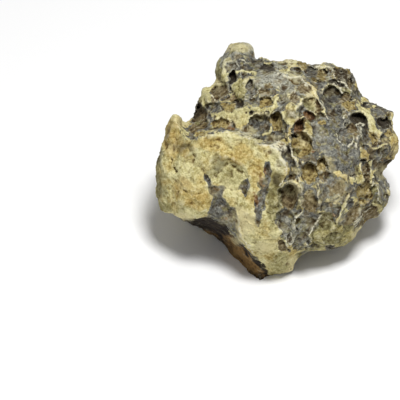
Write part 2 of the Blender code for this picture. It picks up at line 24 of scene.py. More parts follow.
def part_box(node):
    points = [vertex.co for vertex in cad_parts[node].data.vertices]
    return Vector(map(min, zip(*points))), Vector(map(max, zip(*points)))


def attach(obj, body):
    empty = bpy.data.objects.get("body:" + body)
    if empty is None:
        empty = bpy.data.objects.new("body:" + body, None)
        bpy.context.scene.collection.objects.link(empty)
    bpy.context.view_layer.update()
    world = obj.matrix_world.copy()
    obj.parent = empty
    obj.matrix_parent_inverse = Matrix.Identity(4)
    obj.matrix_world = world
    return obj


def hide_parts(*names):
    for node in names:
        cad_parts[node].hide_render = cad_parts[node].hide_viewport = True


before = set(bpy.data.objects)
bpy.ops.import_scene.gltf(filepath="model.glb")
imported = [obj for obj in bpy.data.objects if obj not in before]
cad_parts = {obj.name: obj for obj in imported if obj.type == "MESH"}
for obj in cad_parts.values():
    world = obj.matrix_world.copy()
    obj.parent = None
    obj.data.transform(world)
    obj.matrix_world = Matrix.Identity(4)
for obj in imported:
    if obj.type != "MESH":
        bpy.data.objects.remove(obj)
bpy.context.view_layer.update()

LOG = logging.getLogger("dragon_stone")
NODE = "dragon_stone"
SLOT = "weathered_stone"
MM = 0.001
FACE_TILT = math.radians(45)
TILT_SIN, TILT_COS = math.sin(FACE_TILT), math.cos(FACE_TILT)
FACE_ORIGIN = (-0.9, -4.9, 60.8)
GOLDEN_ANGLE = math.pi * (3.0 - math.sqrt(5.0))
SMALLEST = 1e-6

# Triangulating landmarks: only what is inside the rim is kept, and how close two may lie before they
# become one.
SHEET_INSIDE = 1
SHEET_MERGE = 1e-4

# A dish's steep wall, the share of its depth by which the floor has climbed at mid height, and how far
# from its middle it is felt, as a share of its longer side.
WALL_POWER = 0.45
FLOOR_CLIMB = 0.38
DISH_REACH = 0.72

# A dish's lip: how far outside the edge it is, how wide, its height as a share of the depth, where it
# begins and is full on the way up the dish, and the least depth of a dish that has one.
LIP_PLACE = 0.22
LIP_REACH = 0.22
LIP_SHARE = 0.2
LIP_CLIMB = (-0.2, 0.7)
LIP_FROM = 2.6

# Over which share of its inside a painted spot fades in.
SPOT_FADE = (-0.45, 0.75)

# Where in the noise a shift leads, and where each cell's own three numbers are read.
SHIFT_AIM = (1.0, 1.7, -1.0)
OWN_SPREAD = 7.3
OWN_SHIFTS = [Vector((31.5, 2.7, 9.1)), Vector((12.3, 4.9, 7.7)), Vector((5.1, 16.4, 21.8))]
OWN_NAMES = ("own_cover", "own_warmth", "own_depth")

Array = np.ndarray
Span = tuple[float, float]
Spans = tuple[Span, ...]
Point = tuple[float, float, float]
Line = Sequence[tuple[float, float]]

# The silhouette of the show face, clockwise from the knob's right side.
RIM: list[Point] = [
    (-15.3, 75.8, -14), (-9.5, 77, -10), (-5, 75, -8), (5, 75, -8), (10, 76, -8), (20, 75.5, -8),
    (30, 73.5, -8), (36, 76, -8), (44, 74, -8), (51, 71, -8), (57, 70.6, -8), (59.5, 65, -8),
    (61.3, 58.5, -8), (63.3, 52.5, -6), (65.8, 48, -5), (70, 44, -5), (77, 43.8, -5), (83.5, 40, -3),
    (88, 36.8, 0), (88.2, 31, 2), (88, 24, 5), (92.6, 18, 8), (93.8, 11, 10), (92.8, 4.5, 8),
    (88.5, -1, 3), (83, -4.5, -5), (79, -8.5, -12), (81.5, -13, -8), (85.5, -20, -3),
    (87.2, -24, 0), (85, -31, -2), (80.5, -38.5, -6), (75, -43.5, -6), (66.5, -46.8, -4),
    (63.5, -52.7, -2), (59, -61.5, 0), (50, -66.2, 4), (43, -68, 6), (32, -67.8, 8), (22, -70, 9),
    (18.2, -75.2, 7), (14.7, -83.8, 3), (8, -86, 0.5), (1, -86.3, 1), (-4, -87, 1.5),
    (-11.5, -90.5, 4.5), (-20.5, -84.5, -1), (-25.7, -79.8, -6), (-30.8, -74.3, -11), (-35.8, -69.3, -16),
    (-40.8, -63.6, -22), (-47.5, -58.2, -23), (-52, -55.5, -20), (-60, -50.3, -15), (-66.5, -47, -8),
    (-73, -43.5, 0), (-80, -40.8, 9), (-86.5, -39.8, 12), (-89, -34, 10), (-90, -26, 10),
    (-90, -15, 12), (-90, -5, 15), (-88.5, 3, 16), (-85.5, 12, 18), (-84, 20, 18),
    (-82, 29, 20), (-80, 33, 22), (-74, 36, 24), (-70, 33.5, 20), (-67.5, 29.5, 6),
    (-63.5, 33, 0), (-62, 39, -3), (-60.5, 43, -6), (-58.5, 48, -9), (-56.7, 53, -12),
    (-53.5, 56.5, -14), (-49, 57, -15), (-47, 62, -16), (-47, 67, -16), (-46, 72, -16),
    (-43.7, 77.5, -16), (-40.5, 82.5, -16), (-36, 86.5, -16), (-32.2, 88.2, -16), (-27.5, 88.8, -16),
    (-21.8, 87.8, -16), (-17.7, 85, -16), (-15.8, 80, -16),
]

# Ledges and creases of the front: the slab's lip, the foot of the step above it, the slab's heel,
# the undercut's inner wall, the crease below the horn, the nose ridge and the grey face's edge.
FRONT_LINES: list[list[Point]] = [
    [
        (-63, 15, 42), (-57, 16.5, 45), (-50, 20.5, 46), (-40, 21.8, 48), (-30, 20.8, 52),
        (-22, 17.3, 56), (-14, 14.3, 60), (-7, 12, 62), (0, 9.3, 64), (4.5, 6, 64), (6.5, -3, 63),
        (7, -12, 61), (4, -20, 59), (1, -32, 55), (1.5, -45, 51), (5, -56, 44), (8, -64, 35),
    ],
    [
        (-62, 20, 30), (-50, 24.5, 29), (-40, 25.8, 30), (-30, 25.3, 35), (-20, 22.5, 39),
        (-12, 18.5, 43), (-4, 15.5, 48), (3, 13, 53),
    ],
    [
        (-76, -41, 26), (-66, -43.5, 34), (-55, -42.3, 39), (-46, -44, 41), (-38, -47, 41),
        (-33, -54, 39), (-26, -63, 35), (-18, -71, 29), (-10, -78, 22), (-5, -83, 15),
    ],
    [(-60, -47, 2), (-50, -51, 0), (-42, -56, -4), (-32, -66, -1), (-21, -78, 5), (-13, -85, 8)],
    [(-75, 29, 34), (-69, 20, 39), (-65, 8, 44), (-60, -3, 47), (-56, -11, 50)],
    [(9, 10, 60), (8, 21, 59), (9, 31, 61), (11, 40, 57), (13, 48, 49), (21, 55, 36)],
    [(61, 24, 44), (60, 12, 48), (58, 2, 51), (57, -10, 51), (57, -22, 46), (52, -34, 40)],
]

FRONT_POINTS: list[Point] = [
    # slab
    (-80, 18, 31), (-86, 5, 27), (-84.5, -10, 30), (-85.5, -25, 25), (-82, -35, 24),
    (-72, 6, 40), (-71, -12, 43), (-72, -26, 40), (-62, -22, 47), (-58, -33, 44), (-52, 8, 50),
    (-40, 12, 52), (-48, -3, 55), (-38, -14, 52), (-45, -30, 46), (-25, 5, 58), (-20, -20, 57),
    (-22, -40, 53), (-32, -43, 45), (-22, -57, 43), (-10, -5, 62), (-9, -25, 59), (-8, -45, 54),
    (-9, -60, 46),
    # toe
    (3, -79, 20), (-1, -71, 33), (10, -73, 22), (16, -66, 25),
    # step and upper left
    (-57, 30, 17), (-65, 25, 14), (-54, 49, 7), (-51, 39, 16), (-42, 34, 26), (-35, 41, 28),
    (-46, 50, 10), (-35, 52, 13), (-25, 40, 33), (-19, 32, 37), (-22, 55, 23), (-10, 28, 43),
    (-8, 42, 41), (1, 52, 34), (-10, 62, 22), (0, 66, 18), (10, 61, 22), (-25, 64, 12),
    (-36, 59, 5), (-20, 70, 0), (-5, 71, 5),
    # knob
    (-30, 74, 3), (-39, 75, -5), (-22, 77, 0), (-30, 83, -1), (-42, 65, -5), (-34, 66, 2),
    # top right
    (14, 68, 9), (20, 61, 22), (21, 71, 3), (28, 66, 9), (37, 66, 8), (45, 63, 12), (52, 64, 7),
    (57, 61, 4), (50, 54, 20), (29, 56, 27), (25, 42, 45), (31, 34, 50),
    # grey face
    (20, 20, 56), (22, 5, 60), (16, -3, 62), (18, -16, 61), (19, -30, 57), (16, -42, 50),
    (12, -52, 45), (11, -61, 37), (32, 20, 57), (40, 8, 60), (32, -6, 61), (46, -12, 58),
    (32, -20, 59), (30, -34, 54), (45, -28, 52), (48, 22, 51),
    # dish, hole and lobe at the right
    (34, 45, 39), (42, 52, 30), (47, 42, 37), (56, 42, 29), (59, 50, 16), (54, 31, 44),
    (62, 38, 29), (70, 35, 25), (76, 37, 17), (75, 27, 28), (84, 31, 15), (85, 22, 22),
    (76, 14, 33), (86, 10, 25), (78, 3, 29), (68, 8, 39), (66, -3, 36), (75, -4, 22),
    # lower right
    (64, -13, 41), (66, -25, 36), (74, -15, 26), (77, -26, 22), (82, -20, 13), (80, -32, 12),
    (70, -39, 17), (61, -42, 28), (43, -47, 37), (48, -58, 27), (33, -44, 42), (27, -55, 39),
    (36, -61, 29), (57, -54, 20), (22, -63, 33), (66, -35, 21),
]

# The hidden sides: (x, y, z) of the standing stone, before it is centred.
BACK_POINTS: list[Point] = [
    # a ring just above the ground
    (40, -26, 1), (64, -10, 4), (73, 12, 9), (66, 38, 5), (48, 58, 2), (18, 66, 1), (-12, 70, 1),
    (-42, 62, 2), (-63, 44, 5), (-72, 20, 9), (-66, -2, 8), (-52, -18, 2), (-34, -32, 0),
    # the underside
    (2, -52, 0), (16, -40, 2), (0, -20, 3), (-26, -6, 0), (26, 0, 0), (44, 12, 3), (0, 22, 0),
    (-40, 28, 3), (30, 40, 0), (-14, 48, 0),
    # half way up
    (84, 20, 52), (80, 40, 42), (70, 58, 46), (46, 74, 40), (18, 82, 52), (-12, 84, 40),
    (-40, 78, 50), (-62, 58, 42), (-78, 34, 46), (-85, 10, 46), (-80, -8, 34), (86, -6, 48),
    (76, -16, 22), (-72, -22, 26),
    # under the top
    (74, 34, 78), (60, 52, 82), (38, 68, 86), (8, 74, 90), (-28, 84, 84), (-46, 60, 78),
    (-58, 44, 74), (-76, 26, 76),
]


class Tone(Enum):
    """The kinds of ground that are painted on the stone, painted shade and painted light among them."""

    CRUST = "crust"
    WARM = "warm"
    OCHRE = "ochre"
    RUST_AND_UNDERCUT_LIGHT = "rust"
    BROWN = "brown"
    OLIVE = "olive"
    SHADE = "shade"
    PALE = "pale"
    RIDGE = "ridge"
    GLOOM = "gloom"
    ASH = "ash"
    LIGHT = "light"
    SLATE = "slate"


# The tones that colour bare rock, of which a dish has one at most. Slate is the rock's own and isn't
# painted.
GROUNDS = (Tone.BROWN, Tone.OCHRE, Tone.RUST_AND_UNDERCUT_LIGHT, Tone.OLIVE)


def smooth_step(low: float, high: float, value: Array) -> Array:
    """Rises smoothly from zero to one between two values."""
    t = np.clip((value - low) / (high - low), 0.0, 1.0)
    return t * t * (3.0 - 2.0 * t)


@dataclass(frozen=True)
class Oval:
    """An oval of the show face, in millimetres and degrees, with the tone of its ground."""

    tone: Tone
    u: float
    v: float
    width: float
    height: float
    amount: float = 1.0
    turn: float = 0.0

    def share(self, at: Array) -> tuple[Array, Array]:
        """Places points in the oval.

        Args:
            at: The points' u and v.

        Returns:
            One in the middle falling to zero on the edge and below outside it, and the height in the
            oval, from -1 at its foot to 1 at its top.
        """
        angle = math.radians(self.turn)
        du, dv = at[0] - self.u, at[1] - self.v
        across = (du * math.cos(angle) + dv * math.sin(angle)) / (self.width / 2)
        along = (dv * math.cos(angle) - du * math.sin(angle)) / (self.height / 2)
        return 1.0 - across**2 - along**2, along


class Dish(Oval):
    """A scallop or hole, whose amount is its depth."""

    def near(self, at: Array) -> Array:
        """The indices of the points that the dish or its lip may touch."""
        reach = DISH_REACH * max(self.width, self.height)
        return np.flatnonzero((np.abs(at[0] - self.u) < reach) & (np.abs(at[1] - self.v) < reach))

    def sink(self, at: Array) -> Array:
        """Finds how deep the dish cuts: deepest under its top, with a floor that climbs to its foot.

        Args:
            at: The points' u and v.

        Returns:
            The depth at each point.
        """
        inside, along = self.share(at)
        floor = 1.0 - FLOOR_CLIMB * (1.0 - np.clip(along, -1.0, 1.0))
        return self.amount * floor * np.clip(inside, 0.0, 1.0) ** WALL_POWER

    def lip(self, at: Array) -> Array:
        """Finds how far the rock stands up in a thin lip over the dish's top.

        Args:
            at: The points' u and v.

        Returns:
            The height at each point.
        """
        if self.amount < LIP_FROM:
            return np.zeros(at.shape[1])
        inside, along = self.share(at)
        ring = np.clip(1.0 - np.abs(inside + LIP_PLACE) / LIP_REACH, 0.0, 1.0)
        return LIP_SHARE * self.amount * ring * smooth_step(*LIP_CLIMB, along)


class Spot(Oval):
    """Painted ground, whose amount is its strength; a negative one takes the tone away."""

    def field(self, at: Array) -> Array:
        """The spot's strength at each point, fading to zero over its outer half."""
        return self.amount * smooth_step(*SPOT_FADE, self.share(at)[0])


@dataclass(frozen=True)
class Stroke:
    """A rib or a channel along a line of the show face."""

    width: float
    height: float
    line: Line

    def raised(self, at: Array) -> Array:
        """How much the stroke stands up, or how deep it cuts, at each point."""
        return self.height * beside(at, self.line, self.width)


def dishes(tone: Tone, rows: Sequence[Sequence[float]]) -> list[Dish]:
    """Makes one dish from each row: u, v, width, height, depth and, where it has one, its turn."""
    return [Dish(tone, *row) for row in rows]


def spots(tone: Tone, strength: float, rows: Sequence[Sequence[float]]) -> list[Spot]:
    """Makes spots of a tone.

    Args:
        tone: The tone.
        strength: The strength of a spot whose row doesn't give its own.
        rows: The u, v, width and height of each, and where they are given its strength and turn.

    Returns:
        The spots.
    """
    return [Spot(tone, *row[:4], *(row[4:] or (strength,))) for row in rows]


def pairs(numbers: Sequence[float]) -> Line:
    """Takes numbers by twos, as the u and v of a line's or an outline's points."""
    return list(zip(numbers[::2], numbers[1::2]))


def strokes(*rows: Sequence[float]) -> list[Stroke]:
    """Makes a stroke from each row: its width, its height and its line."""
    return [Stroke(width, height, pairs(line)) for width, height, *line in rows]


# The slab's outline: the smoother ground that the scallops leave out.
SLAB = pairs((
    -95, -45, -92, 30, -78, 40, -70, 30, -63, 15, -57, 16.5, -50, 20.5, -40, 21.8, -30, 20.8, -22, 17.3,
    -14, 14.3, -7, 12, 0, 9.3, 4.5, 6, 6.5, -3, 7, -12, 4, -20, 1, -32, 1.5, -45, 6, -56, 14, -66, 16, -90,
    -5, -84, -18, -71, -26, -63, -33, -54, -46, -44, -66, -43.5, -76, -41,
))

# The undercut below the slab's heel, which the light hardly reaches and where painted shadow is laid.
UNDERCUT = pairs((
    -76, -41, -66, -43.8, -55, -42.6, -46, -44.3, -38, -47.3, -33, -54.3, -26, -63.3, -18, -71.3, -10,
    -78.3, -5, -83.3, -4, -95, -20, -95, -70, -60, -80, -44,
))

# Where the slab's tan crust has come away, a step down to the rock below it.
PATCHES = [pairs(row) for row in (
    (-55, -10, -51, -13, -49, -19, -44, -20, -39, -17, -39, -21, -41, -25, -37, -31, -30, -37, -28, -45,
     -27, -58, -31, -58, -36, -50, -46, -45, -53, -43, -50, -37, -48, -27, -51, -21, -53, -14),
    (-28, -17, -23, -15, -20, -20, -23, -28, -26, -23),
    (-9, -1, -6, -1, -4, -8, -6, -18, -7, -26, -9, -34, -11, -42, -14, -49, -16, -46, -17, -38, -16, -30,
     -13, -24, -14, -18, -10, -12),
)]

# Dishes and holes big enough to be in the solid as well.
DISHES: list[Dish] = [
    # upper left
    *dishes(Tone.BROWN, (
        (-56.5, 33, 13, 20, 17, 8), (-62, 24, 7, 7, 4), (-42.5, 51.5, 14, 10, 7, 25),
        (-9.5, 50.5, 11, 6, 2.5, -8),
    )),
    *dishes(Tone.SLATE, (
        (-47, 40, 9, 9, 6, 10), (-18.8, 53.5, 9, 14, 8), (-14, 73, 9, 7, 4), (3, 70.5, 13, 6, 4, -10),
        (6.5, 24.5, 6, 12, 4, 15), (-17, 43.5, 7, 6, 3), (-12.5, 27.5, 17, 14, 10),
    )),
    *dishes(Tone.OCHRE, (
        (-41.5, 27, 14, 10, 6), (-8, 43.5, 12, 8.5, 8), (0.5, 28.5, 10, 15, 14, 5), (-36, 40, 10, 8, 3),
    )),
    *dishes(Tone.SHADE, (
        (-28.5, 42, 8.5, 5.5, 8, -35), (-33, 61.5, 6, 13.5, 14, -12), (-19.2, 35.5, 6.5, 3.5, 6, 25),
        (-6.5, 69.3, 12.5, 5, 10, -8),
    )),
    # top right
    *dishes(Tone.SLATE, (
        (15, 67.3, 10, 5.5, 6, -30), (26, 65.5, 11, 13, 11), (33.5, 57.5, 7.5, 6.5, 6),
        (41.3, 44, 15.5, 24, 15, 8), (77, 36.5, 10, 9, 4),
    )),
    *dishes(Tone.BROWN, (
        (50, 64.5, 8, 9, 8, -15), (51.5, 47, 9, 8, 7), (44.5, 66, 5, 7, 5), (55, 57.5, 6, 9, 6, -15),
    )),
    *dishes(Tone.OCHRE, ((20.5, 71.5, 7, 6.5, 7, -20), (34, 65, 8, 9, 8), (54, 41, 10, 8, 4))),
    *dishes(Tone.SHADE, ((42.3, 58.8, 6.5, 5, 8, -25), (66.3, 41.3, 7, 3.5, 6))),
    # right
    *dishes(Tone.SHADE, (
        (60.8, 30.5, 15, 11, 15, -14), (80.5, 27.8, 12, 10, 15, -15), (84, -1, 10, 5, 6, 8),
        (66.5, 24, 4.5, 9, 6, 10),
    )),
    *dishes(Tone.SLATE, (
        (50.5, 16.5, 13, 14, 4.5), (65, 17.5, 7, 12, 6, 5), (78, 5, 13, 9.5, 6), (79, -22, 7, 14, 4, 20),
    )),
    *dishes(Tone.BROWN, (
        (55.5, 23.5, 8, 8, 5), (77, -3.5, 9, 6, 5), (66.5, -6, 5.5, 10, 5), (70, -39, 14, 11, 10, 25),
        (56, -41, 8, 20, 4, -30),
    )),
    *dishes(Tone.OCHRE, ((72, 17, 7, 10, 5), (66, -24, 14, 18, 9, 5))),
    # centre
    *dishes(Tone.RUST_AND_UNDERCUT_LIGHT, ((16, 24.5, 8.5, 12.5, 13, -20), (24.5, 33, 10.5, 7, 9, -38))),
    *dishes(Tone.OCHRE, ((18, 11, 17, 20, 12, -5), (24, -9, 14, 16, 11, -8), (33, -3, 8.5, 9.5, 11, -5))),
    *dishes(Tone.OLIVE, ((24.5, 42, 12, 9, 7, 20), (37, -45.5, 14, 13, 4.5, -20))),
    *dishes(Tone.SLATE, (
        (8.5, 53.5, 9, 9, 3), (4, 45, 6.5, 16, 4.5, -8), (18, 37, 5.5, 10, 5, -25),
        (5.5, -43.5, 14, 16, 5, -10), (23, -49, 11, 17, 4.5, -25), (18, -57.5, 8, 9, 4),
        (10.3, -57.5, 5, 9.5, 4), (33, 32.3, 7, 6, 4),
    )),
    *dishes(Tone.BROWN, (
        (9, -27, 14, 21, 18), (24.5, -32, 12, 14, 3.5), (20.5, 53, 10, 8, 2.5), (12.5, 45.5, 5.5, 9, 5),
        (34.5, -11, 8, 8, 3),
    )),
    *dishes(Tone.SHADE, ((12, -2, 5, 5, 5), (43, -66, 14, 4, 6, 3))),
    # slab
    *dishes(Tone.CRUST, ((-36, -11, 30, 24, 4.5, -20), (-64, -2, 16, 12, 2, 40))),
]

# Small holes and nicks, too fine for the solid.
NICKS: list[Dish] = [
    *dishes(Tone.SHADE, (
        (-38, 46.5, 5.5, 2.4, 3.5, 25), (-34, 53.5, 3, 3, 3.5), (-33.5, 50.3, 3.4, 2.4, 3),
        (-41, 38.5, 4, 3, 3.5), (-33, 26.5, 3.6, 6, 6, 20), (-20, 64.5, 6, 2.2, 3, 10),
        (-24, 63.5, 4.5, 4.5, 4, 20), (2, 68.5, 6, 1.8, 2.5, -10), (51, 57.5, 8, 2.4, 6, -42),
        (46, 56, 6, 3.4, 4, -15), (55.5, 46.5, 3.4, 4.5, 6), (12, 17.3, 6.5, 4, 8, 10),
        (52, 27, 3.4, 3.4, 4), (52.5, 24, 3.6, 2.8, 3.5), (79, 19, 4, 5, 4, 10), (74, 11.5, 7, 2.6, 3, 10),
        (64.5, -0.5, 7, 2.6, 5, 15), (71.8, -15, 4.4, 2, 5, -40), (14.5, -51.5, 2.6, 3.2, 4),
        (30.5, 69, 3, 3, 3), (32.5, 52, 3.4, 2.4, 3.5), (57, -12, 4, 1.8, 2.5, 10),
        (61.5, -19, 4, 1.8, 2.5, 15), (33, -39.5, 3, 2, 2.5), (26, -64, 8, 3.5, 4, 15),
        (84.5, 9, 2.4, 6, 3, 15), (91, 16.5, 3, 3.6, 2.5), (-15, 17, 3, 2, 3, -20),
        (39.5, -65.5, 4, 2.4, 4), (67, -8, 2, 7, 3), (9, -67, 2.4, 4, 3, 20), (5.5, -56, 3, 2.4, 2),
        (20, 30.5, 3, 2.4, 2.5), (-61, 37, 3, 4, 4), (-52, 28, 3.5, 3, 3), (49.5, 66, 3.4, 3.4, 4),
    )),
    *dishes(Tone.BROWN, (
        (-45, 46, 7, 4.5, 3), (13, 58.5, 8, 4, 2.5, -25), (31, 39.5, 5, 11, 3, -8), (10.5, -12.5, 6, 6, 3),
        (66.5, -13, 6, 6, 3), (4, -63.5, 8, 9, 2.5, 20), (73.5, 12.8, 7, 3.6, 2.5), (46, -21, 9, 8, 1),
        (39, -22, 7, 8, 1), (84, 25, 5, 4, 3), (-58, 41, 6, 3, 3, -20), (52, 71, 5, 3, 3),
        (64, -47, 6, 5, 2.5, 30), (-24, 35, 3, 2, 1, 40), (-6, 55, 6, 3, 1.2, 10), (38, -32.5, 6, 4, 1.2),
    )),
    *dishes(Tone.OLIVE, (
        (83.5, 33, 3.6, 5, 3), (14, 6.5, 8, 8, 3), (72.5, -22, 5, 9, 4, 25), (15.5, -45.5, 5, 7, 2.5, -35),
        (52, 52, 9, 4.5, 2, -5), (42, -58.5, 18, 10, 2.5, 10), (9.5, -20, 8, 6, 3), (17, -71.5, 6, 5, 2),
        (-58, 28, 5, 5, 1.5),
    )),
    *dishes(Tone.SLATE, (
        (-49.3, 31, 4, 11, 2.5), (-44, 23.8, 14, 4, 2), (-33, 71.5, 9, 6, 3), (-26, 70, 8, 5, 2.5),
        (1, 19.5, 11, 6, 2.5), (-22, 24, 10, 5, 2, 10), (39, 66.5, 6.5, 8, 3), (38, 59.5, 5, 4, 2),
        (61, 48.5, 8, 7, 2.5), (67, 9.5, 5.5, 5, 3), (23.2, -60.3, 4.6, 4.8, 3), (66.5, -29, 9, 4, 2),
        (44, 35, 12, 6, 3), (61.5, 21, 3, 9, 1.5, 8), (58, 60, 5, 12, 3, -15), (35, 24, 7, 8, 1),
        (44, 26, 8, 7, 1), (34, 12, 8, 9, 0.9), (43, 4, 9, 8, 0.9), (54, 3, 8, 8, 1), (38, -13, 8, 8, 1.2),
        (52, -8, 7, 5, 1), (37, -23, 6, 9, 1), (35, -34, 8, 7, 1.2), (45, -37, 8, 8, 1.2),
        (56, -24, 5, 9, 1.5, -15), (54, -33, 5, 8, 1.5, -20), (-7, 61, 9, 4, 1.5, 10),
        (6, 59, 8, 4, 1.5, 5), (-4, 52.5, 8, 3, 1.2, 6), (84, -29, 4, 9, 2, 20), (75, -12, 6, 7, 2.5),
        (2, 61.5, 6, 3, 1.2),
    )),
    *dishes(Tone.OCHRE, (
        (84, 20, 6.5, 5.5, 3), (89.5, 9, 5, 10, 2, 5), (64, -31.5, 7, 5, 2, 10), (20, 6, 7, 7, 2),
        (-57, 20, 7, 4, 1.5), (55, 67, 4, 5, 2.5), (34, 28, 7, 4, 1.2), (24, -24, 9, 3, 1.5, 25),
        (47, 69, 4, 4, 3), (29, 60, 5, 4, 2),
    )),
    *dishes(Tone.CRUST, (
        (-77, -8, 4.5, 4, 3), (-80, -1.5, 2.5, 4.5, 2), (-69, -24, 5, 2, 1.5, -35),
        (-70, 8, 10, 8, 1.2, 30), (-66, -16, 12, 9, 1.2, 20), (-60, -34, 11, 7, 1.2, -10),
        (-76, -28, 8, 10, 1.2), (-47, 9, 9, 6, 1.2), (-30, 10, 10, 6, 1.2, -10), (-14, 3, 8, 7, 1),
        (-3, -12, 6, 10, 1), (-4, -26, 7, 9, 1), (-18, -33, 6, 9, 1), (-22, -50, 7, 10, 1),
        (-10, -56, 10, 8, 1.2), (-12, -70, 9, 7, 1.2, -20), (1, -77, 9, 6, 1.2), (10, -77, 6, 6, 1),
        (-78, 14, 6, 10, 1.2, 10), (-53, 4, 7, 7, 1),
    )),
]

# Plates of pale crust that stand a little proud of the rock round them.
PLATES = [pairs(row) for row in (
    # upper left and the knob
    (-55, 56, -50, 56, -43, 58.5, -40, 59.5, -44, 55, -47.5, 52, -49.5, 48, -50.5, 44, -55, 42, -57.5, 46),
    (-46, 35, -40, 36.5, -34, 37, -32, 41, -30, 38, -27, 40, -23, 40, -21, 37, -20, 30, -24, 26, -29, 23,
     -30.5, 27, -32, 31, -36, 32, -41, 32, -45, 31),
    (-33, 54, -31, 60, -28, 62, -21, 61, -20.5, 58, -23.5, 53, -23.5, 47, -26, 45, -29, 46, -31, 50),
    (-31, 67.5, -25, 68, -16, 67, -15, 65.3, -24, 65.5, -30, 65.5),
    (-24, 62, -18, 63, -18, 60.5, -23, 60),
    (-39, 76, -36, 77.5, -31, 76, -35, 73.5, -38, 71, -36, 68, -35, 61, -38, 58.5, -41, 60, -40, 66),
    (-14, 40, -10, 39.5, -4, 40, 0, 43, 3, 46, 2, 50, 0, 48, -2, 43, -2, 37, -8, 35.5, -14, 36.5),
    (-14, 21.5, -5, 21.5, -4, 19, -12, 18.5),
    # nose and top
    (8, 50, 10, 43, 8, 36, 7, 31, 9, 27, 9.5, 20, 11.5, 20, 12, 27, 16, 31, 17, 36, 19, 42, 21, 46, 18, 46,
     14, 40, 12, 38, 11, 43, 10, 48),
    (22, 58, 25, 57, 28, 53, 32, 48, 35, 42, 33, 42, 30, 46, 26, 50, 23, 54),
    (7, 75, 16, 75, 18, 72, 12, 69, 9.5, 67, 9, 70),
    (20, 28, 22, 29, 26, 24, 28, 20, 25, 19.5, 22, 22),
    (14, 16, 17, 17.5, 21, 14, 21, 11, 18, 9.5, 15, 13),
    (-2, 10.5, 0, 13, 5, 16, 7, 14, 8, 11, 5, 9, 0, 9.5),
    # right
    (59, 43, 63, 42, 63, 40, 70, 40, 71, 36, 74, 28, 75, 25, 80, 23, 78, 20, 76, 18, 72, 20, 69, 23, 68,
     29, 66, 33, 62, 37, 59, 39),
    (64, 49, 71, 44.5, 70, 42.5, 64, 43.5),
    (60, 60, 62, 57, 64.5, 55, 64.5, 52, 61, 53.5, 59, 57),
    (55, 48, 58, 49, 60, 46, 58, 43.5, 55.5, 44),
    (82, 39, 87, 37, 88.5, 34, 88.5, 22, 86, 22, 85.5, 30, 84.5, 34, 82, 35),
    (82, 21, 86, 21, 90, 18, 88, 15, 91, 15, 92.5, 8, 90.5, 1, 87, 1, 88, 8, 84.5, 14, 83, 17),
    (74, 22, 79, 23.5, 81, 21, 77, 19, 76, 15, 78, 13, 83, 13, 83, 11, 76, 10, 73, 19),
    (61, 11, 63, 10.5, 70, 5, 69.5, 0.5, 65, 0.5, 62, 2),
    (62, -2, 64.5, -5, 64.5, -9, 61, -9, 61.5, -4),
    (58, -12, 63, -10, 65, -15, 65, -18.5, 60, -18.5),
    (42, -9, 47, -7, 49.5, -9, 53, -12, 52.5, -16.5, 49, -13, 46, -12, 43, -10.5),
    (54, -12, 58, -12, 58, -17.5, 55, -17.5),
    # lower right
    (57, -19, 58, -21, 54, -29, 52, -34, 49, -41, 45, -48, 41, -51.5, 44, -46, 48, -38, 50, -31, 52, -26),
    (71, -31, 80, -35, 80, -40, 76, -40.5),
    (82, -21, 87, -22, 86, -28, 83, -35, 80, -39, 81, -33, 83, -28, 83, -24),
    (27, -55, 33, -52, 41, -53, 48, -46, 52, -50, 50, -58, 58, -56, 62, -50, 60, -60, 50, -65, 38, -64, 30,
     -62, 27, -59),
)]

# Where the scallops die away, and by how much: the grey face, the layered top, the knob and flanks.
CALM = dishes(Tone.SLATE, (
    (44, 8, 44, 60, 0.95), (-2, 60, 34, 16, 0.9, 5), (-30, 76, 30, 34, 0.95), (42, -57, 46, 26, 0.9, 8),
    (5, -76, 34, 26, 1), (69, 32, 14, 26, 0.9, 35), (14, 35, 14, 22, 0.6), (-26, 34, 18, 16, 0.9),
    (-28, 54, 10, 18, 0.9), (-53, 49, 10, 16, 0.9), (20, -50, 20, 24, 0.8, -20), (7, -42, 14, 18, 0.9),
    (46, -26, 34, 32, 0.8), (78, -30, 14, 30, 0.8, 20), (7, -1, 8, 24, 0.9), (88, 12, 12, 28, 0.7),
    (-32, -66, 70, 26, 0.8, -42), (-50, 58, 16, 60, 0.7, 10), (56, -60, 50, 24, 0.6, 25),
))

# Ribs, then sunk lines beside the slab's edge and under its lip, hair cracks and pale thin edges, of which
# some are painted highlight.
RIBS = strokes(
    (4.5, 3, 9, 18, 9, 11, 11, 5, 14, 0, 16, -7, 18, -20, 19, -38, 13, -46, 9, -61),
    (5, 2.2, 31, -17, 32, -36), (5.5, 3, 57, -22, 53, -31, 48, -42, 41, -52),
    (5, 2.5, 71, -12, 74, -20, 81, -34), (5, 2.5, 60, -49, 65, -41, 70, -34),
    (4, 2.5, 33, -41, 28, -49, 23, -57, 26, -61, 21, -64), (4.5, 3, 64, 27, 61, 17, 59, 10),
    (4, 3, 46, 60, 51, 56, 57, 53), (3.5, 2.5, 24, 57, 32, 46, 36, 33),
    (4.5, 3, -2, 66, 12, 63.5, 19, 60.5, 22, 57), (9, 2.5, 60, 43, 68, 33, 76, 21),
    (3.5, 1.5, -16, 47, -8, 49.5, 0, 47), (6, 1.8, -50, 18.5, -28, 18, -2, 7.5, 4, 1, 4.5, -9),
    (4.5, 3, 33, 52, 37, 57, 44, 57, 49, 52), (4, 2.5, 53, 34, 58, 37.5, 64, 36.5, 68, 32),
    (4, 2.5, 74, 31.5, 79, 34, 85, 31.5), (4, 2.5, 20, 70.5, 25, 73, 31, 71.5),
)

CHANNELS = strokes(
    (6, 5, 8, 8, 9, 1, 9, -8, 8, -15), (4, 4, -17, 17.5, -11, 15.5, -5, 13.5),
)

